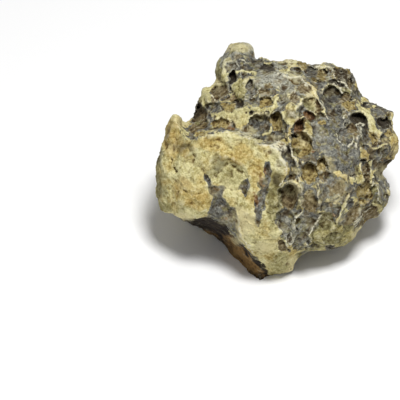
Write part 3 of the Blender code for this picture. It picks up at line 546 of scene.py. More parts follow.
CRACKS = strokes(
    (1.4, 1, -4, -46, 0, -44, 3, -46), (1.4, 0.9, -7, -33, -3, -35, 0, -34),
    (1.4, 0.9, -8, -38, -4, -39.5, 0, -39), (1.4, 0.8, 1, -13, 5, -14.5, 7, -12.5),
    (2, 1.6, 62, -2, 68, -1.5, 72, 0.5), (1.6, 1.4, 0, 68, 5, 67.5, 10, 69),
    (9, 1.6, -69, 22, -66, 10, -62, 0, -57, -9, -53, -14), (3, 0.8, -47, -14, -35, -2, -26, -9, -22, -16),
    (1.3, 0.8, -30, 58, -26, 50, -29, 44), (1.4, 0.9, 10, -68, 4, -63, -1, -66),
    (1.6, 0.9, -14, 61, -6, 62.5, 4, 60.5, 14, 59), (1.6, 0.9, -13, 57.5, -4, 58, 5, 57, 9, 58.5),
    (1.6, 0.9, -10, 54.5, -2, 54.5, 4, 54), (1.6, 1, 71.5, 39, 72, 34), (1.6, 1, 22, 20, 25, 12, 27, 6),
    (1.6, 1.2, 28, -5, 30, -12), (1.6, 1.2, 35, -1, 37.5, -6), (1.6, 1, 70, -28, 75, -25),
    (1.6, 1, 63, 6, 67, 2.5),
)

PALE_LINES = strokes(
    # the first pale strokes follow the slab's lip, partly pale crust and partly painted highlight
    (4, 0.8, -56, 17, -50, 20, -40, 21, -30, 20, -22, 17, -14, 13.5),
    (4.5, 1, -14, 13, -7, 11, -1, 8.5, 3, 5, 5, -2), (2.5, 1, 5, -2, 6, -10, 2, -19),
    (2.2, 1, -49, 48, -46, 45.5, -44, 43.5, -41, 45, -36, 48),
    (2, 1, -24, 45.5, -18, 46, -16, 49, -12, 54), (2, 1, -14, 48, -11, 45.5, -6, 48, -2, 47),
    (2, 0.9, -20, 32.5, -15, 34.5, -12, 33.5, -7, 34.5), (2, 0.8, -12, 56, -4, 56.3, 4, 56, 9, 58),
    (2, 0.8, -13, 65.5, -6, 66.5, 0, 65), (3, 1.2, 0, 65, 4, 63, 10, 61.5, 17, 62, 20, 60, 22, 57.5),
    (2.2, 1.2, 31, 70.5, 38, 71, 42, 68, 43, 64, 43.5, 61), (2.2, 1.2, 42, 56.5, 46, 54, 48.5, 50),
    (2.4, 1.2, 46, 60, 49, 58, 51, 55, 56, 53), (4, 0.8, 23, 57, 27, 52, 31, 47, 34.5, 42),
    (4, 0.8, 63, -2.5, 63, -8.5), (2, 1, 31, 48, 34, 42, 35, 37, 38, 31), (2, 1, 51, 37, 50.5, 28),
    (2.4, 1, 13, 51, 12.5, 47), (2.4, 1, 20, 46, 17, 41, 14, 37), (3, 0.8, 25, 50, 28, 46),
    (2.2, 1.2, 45, 20, 45, 15, 49, 11, 54, 10.5, 57, 13, 58, 17), (2.4, 1, 58.8, 12, 59, 8),
    (2.4, 1.4, 59, 25.5, 62, 28, 65.5, 26), (2, 1, 62, 25, 62, 20, 60.5, 16), (2.2, 1, 73, 18.5, 77, 15),
    (3.6, 0.6, 79.5, 13, 83, 11.3), (3, 0.6, 75.5, 3, 77.5, 3), (2, 1.2, -26, 76, -22.5, 75, -20, 72),
    (2.2, 1.4, 9, 10, 10, 6, 13, 2, 15, -1), (2.2, 1, 14, -8, 15, -12, 17, -18, 18, -23),
    (2.2, 1, 20, -25, 24, -24, 27.5, -21), (2, 1, 36, 0, 37.5, -4), (1.8, 0.8, 20, -2.5, 23, -1.5, 28, -2),
    (2, 1, 30.5, -18, 31, -23, 31.5, -28), (1.8, 0.6, 31, 12, 34, 16), (2, 0.8, 48, -13, 48, -18),
    (2.4, 0.8, 45, -26, 48, -28), (2.2, 1.4, 33, -41, 29, -46, 27, -50, 26.5, -53, 23, -56.5),
    (2, 1.2, 24.5, -57, 26, -59.5, 24.5, -62, 21.5, -63.5), (2.2, 1.2, 19, -39, 15, -42, 12, -47, 13, -50),
    (2, 1.2, 2, -51, 5, -55, 8, -57, 9, -64, 12, -62, 13, -57, 11, -53),
    (2.2, 1, -1, -67, 3, -69.5, 6, -68.5), (2, 1, 37, -42, 42, -47), (2, 1.2, 69, -35, 63, -42, 58, -48),
    (2, 1.2, 71, -12, 72, -18, 75, -24, 76, -28, 79, -32), (2.4, 0.8, 61.5, -35, 62, -39),
    # the strokes at (-27, 56), (-25, 48), (-25, 18.5) and (-20, 19) are painted highlight
    (2.4, 0.8, 63.5, -16, 64.5, -18), (2, 0.8, -27, 56, -23, 52), (2.4, 0.8, -25, 48, -24, 46.5),
    (2, 0.8, -25, 18.5, -22, 16), (1.8, 0.8, -20, 19, -18, 16),
    (2.4, 1, -28, -45, -27, -55, -24, -61, -16, -70), (2, 0.8, -50.5, 28, -48, 30.5),
)

# Where there is more or less of each tone than the dishes, plates and lines give.
SPOTS: list[Spot] = [
    # where more or less of the crust is left
    *spots(Tone.CRUST, 0.3, (
        (44, 8, 44, 62, -0.5), (-3, 60, 34, 18, -0.35), (-30, 76, 32, 28, -0.4), (-28, 84, 16, 7, 0.7),
        (20, -50, 26, 30, -0.3, -20), (78, -28, 16, 34, -0.2, 15), (5, -76, 32, 26, 0.75),
        (44, -58, 44, 20, 0.35, 5), (90, 10, 10, 26, 0.4), (76, 16, 20, 14), (10, 66, 20, 6, 0.5, -12),
        (14, 33, 14, 30, 0.25), (-4, 40, 14, 12, 0.25), (-50, 50, 14, 18), (52, 52, 10, 8, 0.2),
        (-70, 30, 12, 12, 1.2), (-57, 20, 10, 7, 0.6), (17.5, 13.5, 8, 9, 2.6),
    )),
    # yellow and orange ground
    *spots(Tone.WARM, 1, (
        (-78, 16, 14, 34), (-58, -30, 20, 16), (-25, 4, 20, 14), (-48, 12, 22, 12), (-15, -12, 12, 26),
        (-70, -20, 14, 16), (88, 8, 10, 18), (75, 16, 8, 10), (66, 4, 9, 10), (45, -12, 14, 6),
        (-84, 22, 10, 14, 0.5), (18, 14, 12, 10), (-24, 50, 70, 50, -0.4), (-36, -11, 26, 20, -1, -20),
        (-68, -8, 16, 18, -0.7, -30), (-64, -39, 22, 7, -0.8), (-2, -40, 10, 44, -0.5),
        (0, 2, 12, 20, -0.8), (5, -78, 20, 16, -0.4), (10, 65, 22, 8, -0.5), (-53, 50, 10, 16, -0.8),
        (68, 31, 11, 28, -0.6, 35), (49, -24, 12, 30, 0.4, -25), (52, -35, 8, 20, -0.8, -25),
        (-70, 11, 13, 13, 0.8), (87, 7.5, 10, 10, 0.6), (-19, 5, 12, 12, -0.6),
    )),
    *spots(Tone.BROWN, 0.3, (
        (45, -25, 18, 22, 0.35), (34, -28, 8, 18), (75, 10, 24, 30, 0.4), (-30, 36, 50, 26, 0.2),
        (52, 16, 10, 12), (28, 50, 14, 20), (-32, 78, 30, 30, -0.6),
    )),
    # pale ground, and on the slab's lip partly painted highlight
    *spots(Tone.PALE, 0.6, (
        (2, 11, 13, 8, 0.8, -20), (-8, 13, 14, 5, 0.5, -15), (-27, 84, 26, 10, 0.45), (13, 75, 9, 7),
        (35, 67, 14, 10, 0.35), (12.5, 33, 10, 9), (-21, 19.5, 18, 6, 0.5, -10), (2, -4, 8, 10, 0.5),
    )),
    *spots(Tone.OCHRE, 0.6, (
        (80, 8, 18, 24, 0.35), (-36, 30, 22, 14, 0.3), (46, -22, 12, 12, 0.45), (85.5, -1.5, 11, 11),
        (71, -46, 13, 11), (19.5, 17, 9, 9, 0.8),
    )),
    *spots(Tone.RUST_AND_UNDERCUT_LIGHT, 0.7, (
        (-33, 26, 7, 8, 1), (15, 28, 7, 8, 1), (21, 30, 6, 5), (-35, 46, 14, 6, 0.5),
        (-12, -14, 3, 14, 0.9, 10), (-15.5, -29, 3, 14, 0.9, 10), (-46, -22, 6, 3, 0.9),
        (-53, 15, 6, 4, 0.5), (-82, 18, 8, 22, 0.4), (-62, -36, 14, 5, 0.4), (23, 15, 5, 12, 0.8, 20),
        (25, 7, 8, 5, 0.6), (-57, 32, 8, 10, 0.9), (6, -32, 7, 9, 0.6), (66, -30, 12, 7),
        (42, -20, 16, 14, 0.35), (60, 20, 6, 12, 0.35), (81, 0, 6, 4), (-9, -8, 2, 8, 0.6),
        (35, 62, 6, 5, 0.6), (41.5, -40, 6, 6), (-38, -44, 9, 3, 0.5),
    )),
    # lighter grey rock
    *spots(Tone.ASH, 0.6, (
        (-36, 72, 16, 16, 1), (-26, 84, 22, 10, 0.8), (-24, 77, 12, 5, -1), (-4, 61, 32, 16, 1, 5),
        (-44, 66, 8, 30, 0.6, 10), (30, 20, 8, 20, 0.5, 10), (62, 22, 6, 18), (36, 62, 10, 6),
        (2, 42, 6, 12, 0.5), (14, 40, 8, 20, 0.5), (-19, 53, 8, 12, 0.4), (8, 53, 12, 12, 0.8),
        (20, 53, 12, 10, 1), (17, -50, 26, 28, 0.5), (42, -28, 26, 24, 0.4), (3, 71, 14, 6),
        (10, 75, 17, 9, 0.8), (36, 67, 17, 15), (63, 50, 17, 13, 0.3), (14, 64, 11, 9),
        (-22, 19.5, 22, 7, 0.9, -10), (2, -3, 10, 15, 0.8), (-4, 7, 10, 8), (46, -25, 16, 16, 0.4),
        (-34, -44, 15, 8),
    )),
    # painted light: lifts places towards pale crust, in some over the lamp's shade and in others over paler
    # ground
    *spots(Tone.LIGHT, 0.4, (
        (12, -21, 15, 10, 1), (21, 16.5, 9, 12, 1.2), (-22.5, 23.5, 18, 5, 0.5, -10),
        (-14, 32.5, 11, 9, 0.6), (-70, -42, 18, 8, 0.8), (61, -35, 10, 10, 0.3), (-10, 33, 10, 9, 0.3),
        (-12, -16, 9, 10, 0.3), (13.5, -7.5, 9, 9, 0.5), (41, -8, 10, 9, 0.35), (37, -1, 10, 10, 0.35),
        (64, 34.5, 9, 10, 0.5), (91, 7.5, 8, 12, 0.5), (26, -46, 10, 10), (40.5, 54, 8, 8),
        (38, -43.5, 11, 10, 0.35), (29, 36, 8, 10), (51, -45, 11, 10, 0.35), (4, -50, 9, 10, 0.3),
        (-78, -42, 14, 9, 0.3), (-38, -18, 11, 10, 0.35), (7, 75, 9, 7), (1, -61, 9, 9, 0.3),
        (-12, -64, 9, 9, 0.3), (64, -52, 11, 11, 0.3), (-6, -63, 11, 11, 0.3), (49.5, -15, 13, 12),
        (24.8, -25.5, 9, 12, 0.45), (37.5, 69, 13, 8), (7.5, 46.5, 9, 9), (-2, 16.5, 13, 7, 0.5),
        (-17, -46.5, 8, 13, 0.45), (-69, -17, 15, 14), (-9, -64.5, 15, 13, 0.35), (-32, 30, 14, 8),
        (-47, -22, 10, 10), (14.5, -77, 14, 12, 0.7), (-43, 60, 10, 10), (-37, 85, 11, 8, 0.5),
        (-29, -60, 11, 9, 0.6), (43, -25, 22, 18, 0.2), (26.5, 46.5, 10, 13, 0.8), (13.5, 61, 12, 9, 0.5),
        (-46, 57, 11, 10, 0.5), (-70.5, 30, 11, 10, 0.8), (79.5, -8.5, 13, 11, 0.7),
        (62, -55.5, 14, 11, 0.8), (-24, -47, 12, 24, 1.1), (-78, 9, 9, 10, 0.5), (-29, -39, 9, 8, 0.5),
        (-36, -45, 18, 9, 0.3), (12, -84, 13, 9, 0.8), (-25, 85, 20, 8, 0.5), (13.5, 75, 10, 8),
    )),
    # painted shade: darker edges, gaps, holes and hollows, and in a few places darker rock
    *spots(Tone.SHADE, 0.4, (
        (-2, -26, 12, 38, 0.45), (1.5, -14, 10, 12, 0.5), (-89, 8, 9, 26, 0.9), (-84, 22, 11, 16, 0.5),
        (-70, 13, 12, 16, 0.4, -30), (-43, -1, 12, 16, 0.6), (-60, 10, 11, 11, 0.35), (-48, -31, 11, 11),
        (25.5, 23, 9, 10, 0.35), (31, 64, 13, 12, 0.6), (46, 70, 10, 8), (62, 52, 12, 10),
        (-22.5, 37, 9, 9, 0.35), (70.5, -1, 9, 8, 0.35), (-87, -20, 12, 26, 0.5), (61.5, 17, 8, 11, 0.3),
        (91.5, 16, 8, 10, 0.35), (-55.5, 54, 9, 9, 0.35), (-35, 14, 10, 8, 0.3), (-67, 7.5, 11, 13),
        (-48, -10, 11, 11), (10.5, 34, 11, 9, 0.8), (61.5, 54, 10, 8), (5.5, 8, 9, 9, 0.9),
        (-37, 48, 10, 9), (-59, 45.5, 9, 8), (71, 4, 9, 9), (-52, 22.5, 9, 8), (31, 21.5, 9, 10, 0.35),
        (31.5, -17, 9, 9, 0.35), (55.5, 68, 8, 7), (38, 43.5, 8, 9), (-21, 83, 8, 7, 0.3),
        (-62, 39, 9, 19, 1), (-58, 38, 9, 9, 0.5), (50, 66, 8, 7, 0.5), (41, 53, 12, 7, 0.5),
        (80, -4, 14, 4, 0.4, 15), (16, -32, 4, 14, 0.6), (-8, 47, 10, 3, 0.2), (-6.5, 69, 14, 7, 0.9, -8),
        (41, 46, 15, 22, 0.25, 8), (50, 65, 9, 10, 0.5), (49, 60, 12, 12, 0.8), (44.5, 66, 6, 9, 0.5),
        (51.5, 47, 9, 9, 0.3), (20.5, 71.5, 8, 7), (65, 17.5, 8, 13, 0.3, 5), (-76, 19, 14, 28, 0.2),
        (8.5, 0, 3, 20, 0.45), (27, 1, 12, 4), (-17, 31.5, 8, 2.5, 0.6), (43, -67, 16, 3, 0.7),
        (77, -8, 8, 6, 0.5), (56, 61, 6, 12, 0.3, -15), (48, 3, 22, 14, 0.25),
    )),
    # olive ground, which along the slab's left edge and its right border strip is partly painted shade
    *spots(Tone.OLIVE, 1, (
        (-30, 46, 46, 40, 0.35), (44, -58, 46, 22), (-44, 66, 10, 36, 0.8, 10), (-28, 84, 16, 8, 0.8),
        (-90, -18, 10, 50), (-85, -36, 14, 12), (4, -78, 24, 20, 0.8), (-36, -11, 24, 18, 0.6, -20),
        (-2, -40, 8, 40, 0.5), (-10, -62, 16, 14, 0.3), (-54, 46, 10, 18, 0.4), (66, 34, 10, 20, 0.3, 35),
        (60, -10, 8, 14, 0.6), (-27, 52, 9, 16, 0.6), (24, 43, 14, 12, 0.5), (-2, -27, 13, 40, 0.8),
        (-20, 16, 26, 8, 0.5, -12), (76, -34, 12, 16, 0.6, 15), (15, -60, 14, 16, 0.4),
        (22, 27, 8, 10, 0.5), (25, -68, 12, 9, 0.6),
    )),
]


def beside(at: Array, line: Line, width: float) -> Array:
    """Nearness to a line.

    Args:
        at: The points' u and v.
        line: The line's points.
        width: The full width over which the line is felt.

    Returns:
        One on the line, falling evenly to zero at half the width to either side.
    """
    u, v = at
    nearest = np.full(len(u), np.inf)
    for (u0, v0), (u1, v1) in zip(line, line[1:]):
        run_u, run_v = u1 - u0, v1 - v0
        share = ((u - u0) * run_u + (v - v0) * run_v) / (run_u**2 + run_v**2)
        share = np.clip(share, 0.0, 1.0)
        away = np.hypot(u - u0 - share * run_u, v - v0 - share * run_v)
        nearest = np.minimum(nearest, away)
    return np.clip(1.0 - nearest / (width / 2), 0.0, 1.0)


def within(at: Array, outline: Line) -> Array:
    """Tests which points are inside a closed outline.

    Args:
        at: The points' u and v.
        outline: The outline.

    Returns:
        True where a point is inside.
    """
    u, v = at
    found = np.zeros(len(u), dtype=bool)
    for (u0, v0), (u1, v1) in zip(outline, list(outline[1:]) + [outline[0]]):
        crosses = (v0 > v) != (v1 > v)
        side = u0 + (v - v0) * (u1 - u0) / (v1 - v0 if v1 != v0 else 1.0)
        found ^= crosses & (u < side)
    return found


def edge_fade(at: Array, outline: Line, width: float) -> Array:
    """One outside an outline, falling to zero at this width inside it."""
    near_edge = beside(at, list(outline) + [outline[0]], 2 * width)
    return np.where(within(at, outline), near_edge, 1.0)


def signed_field(at: Array, outline: Line, width: float) -> Array:
    """Minus one well outside an outline, zero on it and one at this width inside it."""
    away = 1.0 - beside(at, list(outline) + [outline[0]], 2 * width)
    return np.where(within(at, outline), away, -away)


def tallest(lines: Sequence[Stroke], at: Array) -> Array:
    """The height of the tallest of some strokes at each point."""
    return reduce(np.maximum, (line.raised(at) for line in lines))


def raise_to(values: Array, least: Array, at: Union[slice, Array] = slice(None)) -> None:
    """Raises values in place to at least these, at some points or at all of them."""
    values[at] = np.maximum(values[at], least)


def turned_away(normals: Array, span: Span) -> Array:
    """One where the surface turns its back, falling to zero over a span of its normal's w."""
    return 1.0 - smooth_step(*span, normals[:, 2])


def lumpy(points: Array, wavelength: float, shift: float = 0.0) -> Array:
    """Smooth noise from about -1 to 1, the same on every run."""
    offset = Vector([shift * part for part in SHIFT_AIM])
    return np.array([noise.noise(Vector(p) / wavelength + offset) for p in points])


def wander(points: Array, reach: float, wavelength: float, shifts: Point) -> Array:
    """Moves points about by smooth noise, so that what is laid out on them wanders."""
    return points + reach * np.stack([lumpy(points, wavelength, shift) for shift in shifts], axis=1)


def cells(points: Array, size: float) -> tuple[Array, Array]:
    """Fills space with bowl-shaped cells that meet in cusped ridges.

    Args:
        points: Places in millimetres.
        size: The cells' size.

    Returns:
        How near each point is to its cell's edge, from 0 in the middle to about 1, and three numbers
        that are the cell's own, from about -0.5 to 0.5.
    """
    near = [noise.voronoi(Vector(p) / size) for p in points]
    edge = np.array([away[0] / max(away[1], SMALLEST) for away, _ in near])
    owns: dict[tuple[float, ...], list[float]] = {}
    for _, middles in near:
        middle = tuple(middles[0])
        if middle not in owns:
            owns[middle] = [noise.noise(middles[0] * OWN_SPREAD + shift) for shift in OWN_SHIFTS]
    return edge, np.array([owns[tuple(middles[0])] for _, middles in near])


@dataclass
class Stone:
    """The stone's mesh, from its landmarks to its fine relief and painted ground."""

    # the voxels of the two remeshings, the triangles, and how gently hidden sides are thinned out
    base_voxel: float = 1.3
    carved_voxel: float = 0.75
    smoothing: float = 0.5
    triangles: int = 196_000
    thinning: float = 0.6
    favour: float = 0.02

    # over which span of the normal's w a side turns from hidden to seen
    pitted_turn: Span = (-0.6, 0.0)
    bulged_turn: Span = (-0.5, -0.1)
    dished_turn: Span = (-0.3, 0.0)
    back_turn: Span = (-0.5, 0.0)
    thinned_turn: Span = (-0.4, 0.1)
    carved_turn: Span = (0.0, 0.25)
    refined_turn: Span = (0.1, 0.4)
    front_from: float = 0.1

    # relief, as pairs of a wavelength or a cell's size and a height
    bulge: Span = (38.0, 5.0)
    rough: Spans = ((22.0, 1.3), (9.0, 0.7))
    scallops: Spans = ((13.0, 2.9), (6.5, 1.5))
    fine_scallops: Spans = ((8.5, 2.6), (4.4, 0.9))
    fine_rough: Spans = ((6.0, 0.40), (3.0, 0.28), (1.5, 0.18))
    flakes: Span = (9.0, 0.45)
    flake_edges: Spans = ((-0.06, 0.0), (0.2, 0.26))
    flake_level: float = 0.8

    # how outlines wander and break up, and where in the noise it is read
    warps: Spans = ((9.0, 2.0), (4.5, 0.8))
    breaks: Spans = ((5.0, 1.6), (2.6, 0.8))
    carved_breaks: float = 0.4
    block_wander: tuple[float, float, Point] = (2.5, 12.0, (2.0, 6.0, 13.0))
    back_wander: tuple[float, float, Point] = (2.0, 10.0, (1.0, 5.0, 11.0))
    warp_shifts: Span = (3.0, 9.0)
    rough_shift: float = 21.0
    flake_shift: float = 31.0

    # how strong the scallops are on the show face, over the slab's edge and on calm ground
    show_scallops: float = 0.3
    least_scallops: float = 0.1
    calmer_back: float = 0.45
    slab_fade: float = 3.0
    calm_fade: Span = (-0.3, 0.4)
    scallop_level: float = 0.32
    worn_level: float = 0.28
    fine_level: float = 0.45

    # steps: the slab's crust and the rim of its bare patches, the pale lines, and the plates
    crust_step: float = 1.8
    crust_rim: float = 1.0
    line_step: float = 0.6
    plate_step: float = 0.8
    plate_rise: Span = (-0.2, 0.5)
    plate_edge: float = 1.8
    plate_margin: float = 3.0

    # seeded dishes of the hidden sides
    seed: int = 7
    scatter_count: int = 260
    scatter_radius: Span = (4.5, 11.0)
    scatter_depth: Span = (0.35, 0.75)
    scatter_jitter: float = 0.12
    scatter_from: float = 0.9
    bowl_power: float = 0.8
    middle: Point = (0.0, 0.0, -20.0)

    # how much the stone's foot is worn down, and how far it keeps inside the solid's box, in metres
    worn_foot: float = 0.6
    keep_off: float = 0.00005

    def build(self) -> bpy.types.Object:
        """Models the stone.

        Returns:
            The stone's object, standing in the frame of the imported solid.
        """
        self.thing = bpy.data.objects.new("stone_surface", self.block_out())
        bpy.context.scene.collection.objects.link(self.thing)
        self.modify("REMESH", mode="VOXEL", voxel_size=self.base_voxel)
        self.modify("SMOOTH", factor=self.smoothing, iterations=1)
        self.roughen()
        self.carve_front()
        self.carve_back()
        self.modify("REMESH", mode="VOXEL", voxel_size=self.carved_voxel)
        self.drop_crumbs()
        self.refine()
        self.thin_out()
        Ground(self).paint()
        self.stand_up()
        self.thing.data.shade_smooth()
        return self.thing

    @staticmethod
    def read(rows: bpy.types.bpy_prop_collection, name: str, width: int = 1) -> Array:
        """Reads one property of every item.

        Args:
            rows: The items.
            name: The property.
            width: How many numbers each item has.

        Returns:
            One row of numbers for each item.
        """
        flat = np.empty(len(rows) * width, dtype=np.float32)
        rows.foreach_get(name, flat)
        return flat.reshape(-1, width).astype(float)

    def points(self) -> Array:
        """The mesh's vertices, one row each."""
        return self.read(self.thing.data.vertices, "co", 3)

    def normals(self) -> Array:
        """The direction that the surface faces at each vertex."""
        return self.read(self.thing.data.vertex_normals, "vector", 3)

    def move_to(self, points: Array) -> None:
        """Moves every vertex to its new place."""
        self.thing.data.vertices.foreach_set("co", points.astype(np.float32).ravel())
        self.thing.data.update()

    def store(self, name: str, values: Array) -> None:
        """Keeps one number for each vertex under a name."""
        layer = self.thing.data.attributes.new(name, "FLOAT", "POINT")
        layer.data.foreach_set("value", values.astype(np.float32))

    def stored(self, name: str) -> Array:
        """The numbers kept under a name."""
        return self.read(self.thing.data.attributes[name].data, "value")[:, 0]

    def modify(self, kind: str, **settings: object) -> None:
        """Gives the stone the mesh that one modifier makes of it.

        Args:
            kind: The modifier's type.
            settings: The modifier's own settings.
        """
        modifier = self.thing.modifiers.new(kind.title(), kind)
        for name, value in settings.items():
            setattr(modifier, name, value)
        evaluated = self.thing.evaluated_get(bpy.context.evaluated_depsgraph_get())
        mesh = bpy.data.meshes.new_from_object(evaluated)
        self.thing.modifiers.clear()
        old = self.thing.data
        self.thing.data = mesh
        bpy.data.meshes.remove(old)

    @staticmethod
    def face_from_standing(point: Point) -> Point:
        """Turns a point of the standing stone into the show face.

        Args:
            point: Its x, y and z.

        Returns:
            Its u, v and w.
        """
        x, y, z = point
        up = z - FACE_ORIGIN[2]
        return (x, y * TILT_COS + up * TILT_SIN, up * TILT_COS - y * TILT_SIN)

    @staticmethod
    def sheet(points: list[Point], lines: list[list[Point]]) -> tuple[list[Point], list[list[int]]]:
        """Triangulates landmarks inside the rim.

        Args:
            points: The landmarks, of which the rim's come first.
            lines: Lines of further landmarks that stay edges.

        Returns:
            The corners and the triangles between them.
        """
        landmarks = list(points)
        edges = []
        for line in lines:
            first = len(landmarks)
            landmarks += line
            edges += [(first + i, first + i + 1) for i in range(len(line) - 1)]
        plan = [Vector(p[:2]) for p in landmarks]
        rim = list(range(len(RIM)))
        corners, _, faces, origin, _, _ = delaunay_2d_cdt(plan, edges, [rim], SHEET_INSIDE, SHEET_MERGE)
        placed = [landmarks[origin[i][0]] for i in range(len(corners))]
        return placed, [list(face) for face in faces]

    def block_out(self) -> bpy.types.Mesh:
        """Makes the plain form as one closed polyhedron, front and back joined on the rim.

        Returns:
            The new mesh.
        """
        back = [self.face_from_standing(p) for p in BACK_POINTS]
        front_points, front_faces = self.sheet(RIM + FRONT_POINTS, FRONT_LINES)
        back_points, back_faces = self.sheet(RIM + back, [])
        model = bmesh.new()
        shared: dict[Point, bmesh.types.BMVert] = {}
        for points, faces in (
            (front_points, front_faces),
            (back_points, [face[::-1] for face in back_faces]),
        ):
            for face in faces:
                corners = []
                for index in face:
                    point = points[index]
                    if point not in shared:
                        shared[point] = model.verts.new(point)
                    corners.append(shared[point])
                model.faces.new(corners)
        mesh = bpy.data.meshes.new("stone_block")
        model.to_mesh(mesh)
        model.free()
        return mesh

    def pitted(self, points: Array, normals: Array) -> Array:
        """Finds how strong the scallops are: full on hidden sides, less on the show face and calm ground.

        Args:
            points: The mesh's vertices.
            normals: The direction that each faces.

        Returns:
            The strength at each vertex, from zero to one.
        """
        at = points.T[:2]
        calm = np.zeros(len(points))
        for oval in CALM:
            raise_to(calm, oval.amount * smooth_step(*self.calm_fade, oval.share(at)[0]))
        shown = self.show_scallops * edge_fade(at, SLAB, self.slab_fade)
        hidden = turned_away(normals, self.pitted_turn)
        return (hidden + (1.0 - hidden) * shown) * (1.0 - calm)

    def roughen(self) -> None:
        """Gives the block its uneven surface, and scallops everywhere but on the slab."""
        points, normals = self.points(), self.normals()
        pitted = self.pitted(points, normals)
        wandered = wander(points, *self.block_wander)
        wavelength, height = self.bulge
        relief = height * lumpy(points, wavelength) * turned_away(normals, self.bulged_turn)
        for wavelength, height in self.rough:
            relief += height * lumpy(points, wavelength)
        off_slab = edge_fade(points.T[:2], SLAB, self.slab_fade)
        worn = np.where(normals[:, 2] > self.front_from, off_slab, 1.0)
        for size, depth in self.scallops:
            edge, _ = cells(wandered, size)
            relief += depth * ((edge**2 - self.scallop_level) * pitted - self.worn_level * worn)
        self.move_to(points + normals * relief[:, None])

    def warped(self, points: Array, broken: float = 1.0) -> Array:
        """Shakes the points' places so that outlines drawn on them wander.

        Args:
            points: The mesh's vertices.
            broken: How much the outlines break up into short straight pieces.

        Returns:
            The points' u and v.
        """
        at = points.T[:2].copy()
        for wavelength, reach in self.warps:
            for part, shift in zip(at, self.warp_shifts):
                part += reach * lumpy(points, wavelength, shift)
        for size, reach in self.breaks:
            at += broken * reach * cells(points, size)[1].T[:2]
        return at

    @staticmethod
    def cut(hollows: list[Dish], at: Array) -> tuple[Array, Array]:
        """Finds what some dishes do to the surface.

        Args:
            hollows: The dishes.
            at: The points' u and v.

        Returns:
            How far their lips lift each point, and how far they sink it.
        """
        lift, sink = np.zeros((2, at.shape[1]))
        for dish in hollows:
            near = dish.near(at)
            raise_to(lift, dish.lip(at[:, near]), near)
            raise_to(sink, dish.sink(at[:, near]), near)
        return lift, sink

    def carve_front(self) -> None:
        """Raises the ribs and sinks the dishes of the show face, straight along w."""
        points = self.points()
        facing = smooth_step(*self.carved_turn, self.normals()[:, 2])
        at = self.warped(points, self.carved_breaks)
        lift, sink = self.cut(DISHES, at)
        raise_to(lift, tallest(RIBS, at))
        raise_to(sink, tallest(CHANNELS, at))
        for patch in PATCHES:
            raise_to(sink, self.crust_step * (1.0 - edge_fade(at, patch, self.crust_rim)))
        points[:, 2] += (lift - sink) * facing
        self.move_to(points)

    def scatter(self, points: Array, hidden: Array) -> Iterator[tuple[int, float, float]]:
        """Finds the hidden sides' dishes.

        Args:
            points: The mesh's vertices.
            hidden: One on the hidden sides.

        Yields:
            The vertex in the middle of a dish, its radius and its depth.
        """
        rng = np.random.default_rng(self.seed)
        rays = points - np.array(self.middle)
        rays /= np.linalg.norm(rays, axis=1)[:, None]
        for i in range(self.scatter_count):
            height = 1.0 - 2.0 * (i + 0.5) / self.scatter_count
            ring = math.sqrt(1.0 - height**2)
            angle = i * GOLDEN_ANGLE
            aim = np.array([ring * math.cos(angle), ring * math.sin(angle), height])
            aim += rng.normal(0.0, self.scatter_jitter, 3)
            radius = rng.uniform(*self.scatter_radius)
            depth = radius * rng.uniform(*self.scatter_depth)
            centre = int(np.argmax(rays @ aim))
            if hidden[centre] > self.scatter_from:
                yield centre, radius, depth

    def carve_back(self) -> None:
        """Sinks seeded dishes into the sides that the show face doesn't reach."""
        points, normals = self.points(), self.normals()
        hidden = turned_away(normals, self.dished_turn)
        wandered = wander(points, *self.back_wander)
        sink = np.zeros(len(points))
        for centre, radius, depth in self.scatter(points, hidden):
            away = np.linalg.norm(wandered - wandered[centre], axis=1) / radius
            raise_to(sink, depth * np.clip(1.0 - away**2, 0.0, 1.0) ** self.bowl_power)
        self.move_to(points - normals * (sink * hidden)[:, None])

    def drop_crumbs(self) -> None:
        """Keeps the largest body and deletes specks that the relief pinched off."""
        model = bmesh.new()
        model.from_mesh(self.thing.data)
        waiting = set(model.verts)
        bodies = []
        while waiting:
            body, reached = set(), [waiting.pop()]
            while reached:
                vert = reached.pop()
                body.add(vert)
                near = [edge.other_vert(vert) for edge in vert.link_edges]
                fresh = [other for other in near if other in waiting]
                waiting.difference_update(fresh)
                reached += fresh
            bodies.append(body)
        bodies.sort(key=len)
        crumbs = [vert for body in bodies[:-1] for vert in body]
        bmesh.ops.delete(model, geom=crumbs, context="VERTS")
        model.to_mesh(self.thing.data)
        model.free()

    def refine(self) -> None:
        """Adds the relief that is too fine for the solid, along the surface's own direction."""
        points, normals = self.points(), self.normals()
        pitted = self.pitted(points, normals)
        facing = smooth_step(*self.refined_turn, normals[:, 2])
        calmer = 1.0 - self.calmer_back * turned_away(normals, self.back_turn)
        strength = self.least_scallops + (1.0 - self.least_scallops) * pitted
        at = self.warped(points)
        relief = np.zeros(len(points))
        for size, depth in self.fine_scallops:
            edge, own = cells(points, size)
            relief += depth * (edge**2 - self.fine_level) * strength * calmer
            if size == self.fine_scallops[0][0]:
                for name, values in zip(OWN_NAMES, own.T):
                    self.store(name, values)
        for wavelength, height in self.fine_rough:
            relief += height * lumpy(points, wavelength, self.rough_shift)
        wavelength, height = self.flakes
        layers = lumpy(points, wavelength, self.flake_shift)
        relief += height * (sum(smooth_step(*edge, layers) for edge in self.flake_edges) - self.flake_level)
        lift, sink = self.cut(NICKS, at)
        raise_to(sink, tallest(CRACKS, at))
        raise_to(lift, self.line_step * tallest(PALE_LINES, at))
        for plate in PLATES:
            near, field = self.plate_field(at, plate)
            raise_to(lift, self.plate_step * smooth_step(*self.plate_rise, field), near)
        relief += (lift - sink) * facing
        self.move_to(points + normals * relief[:, None])

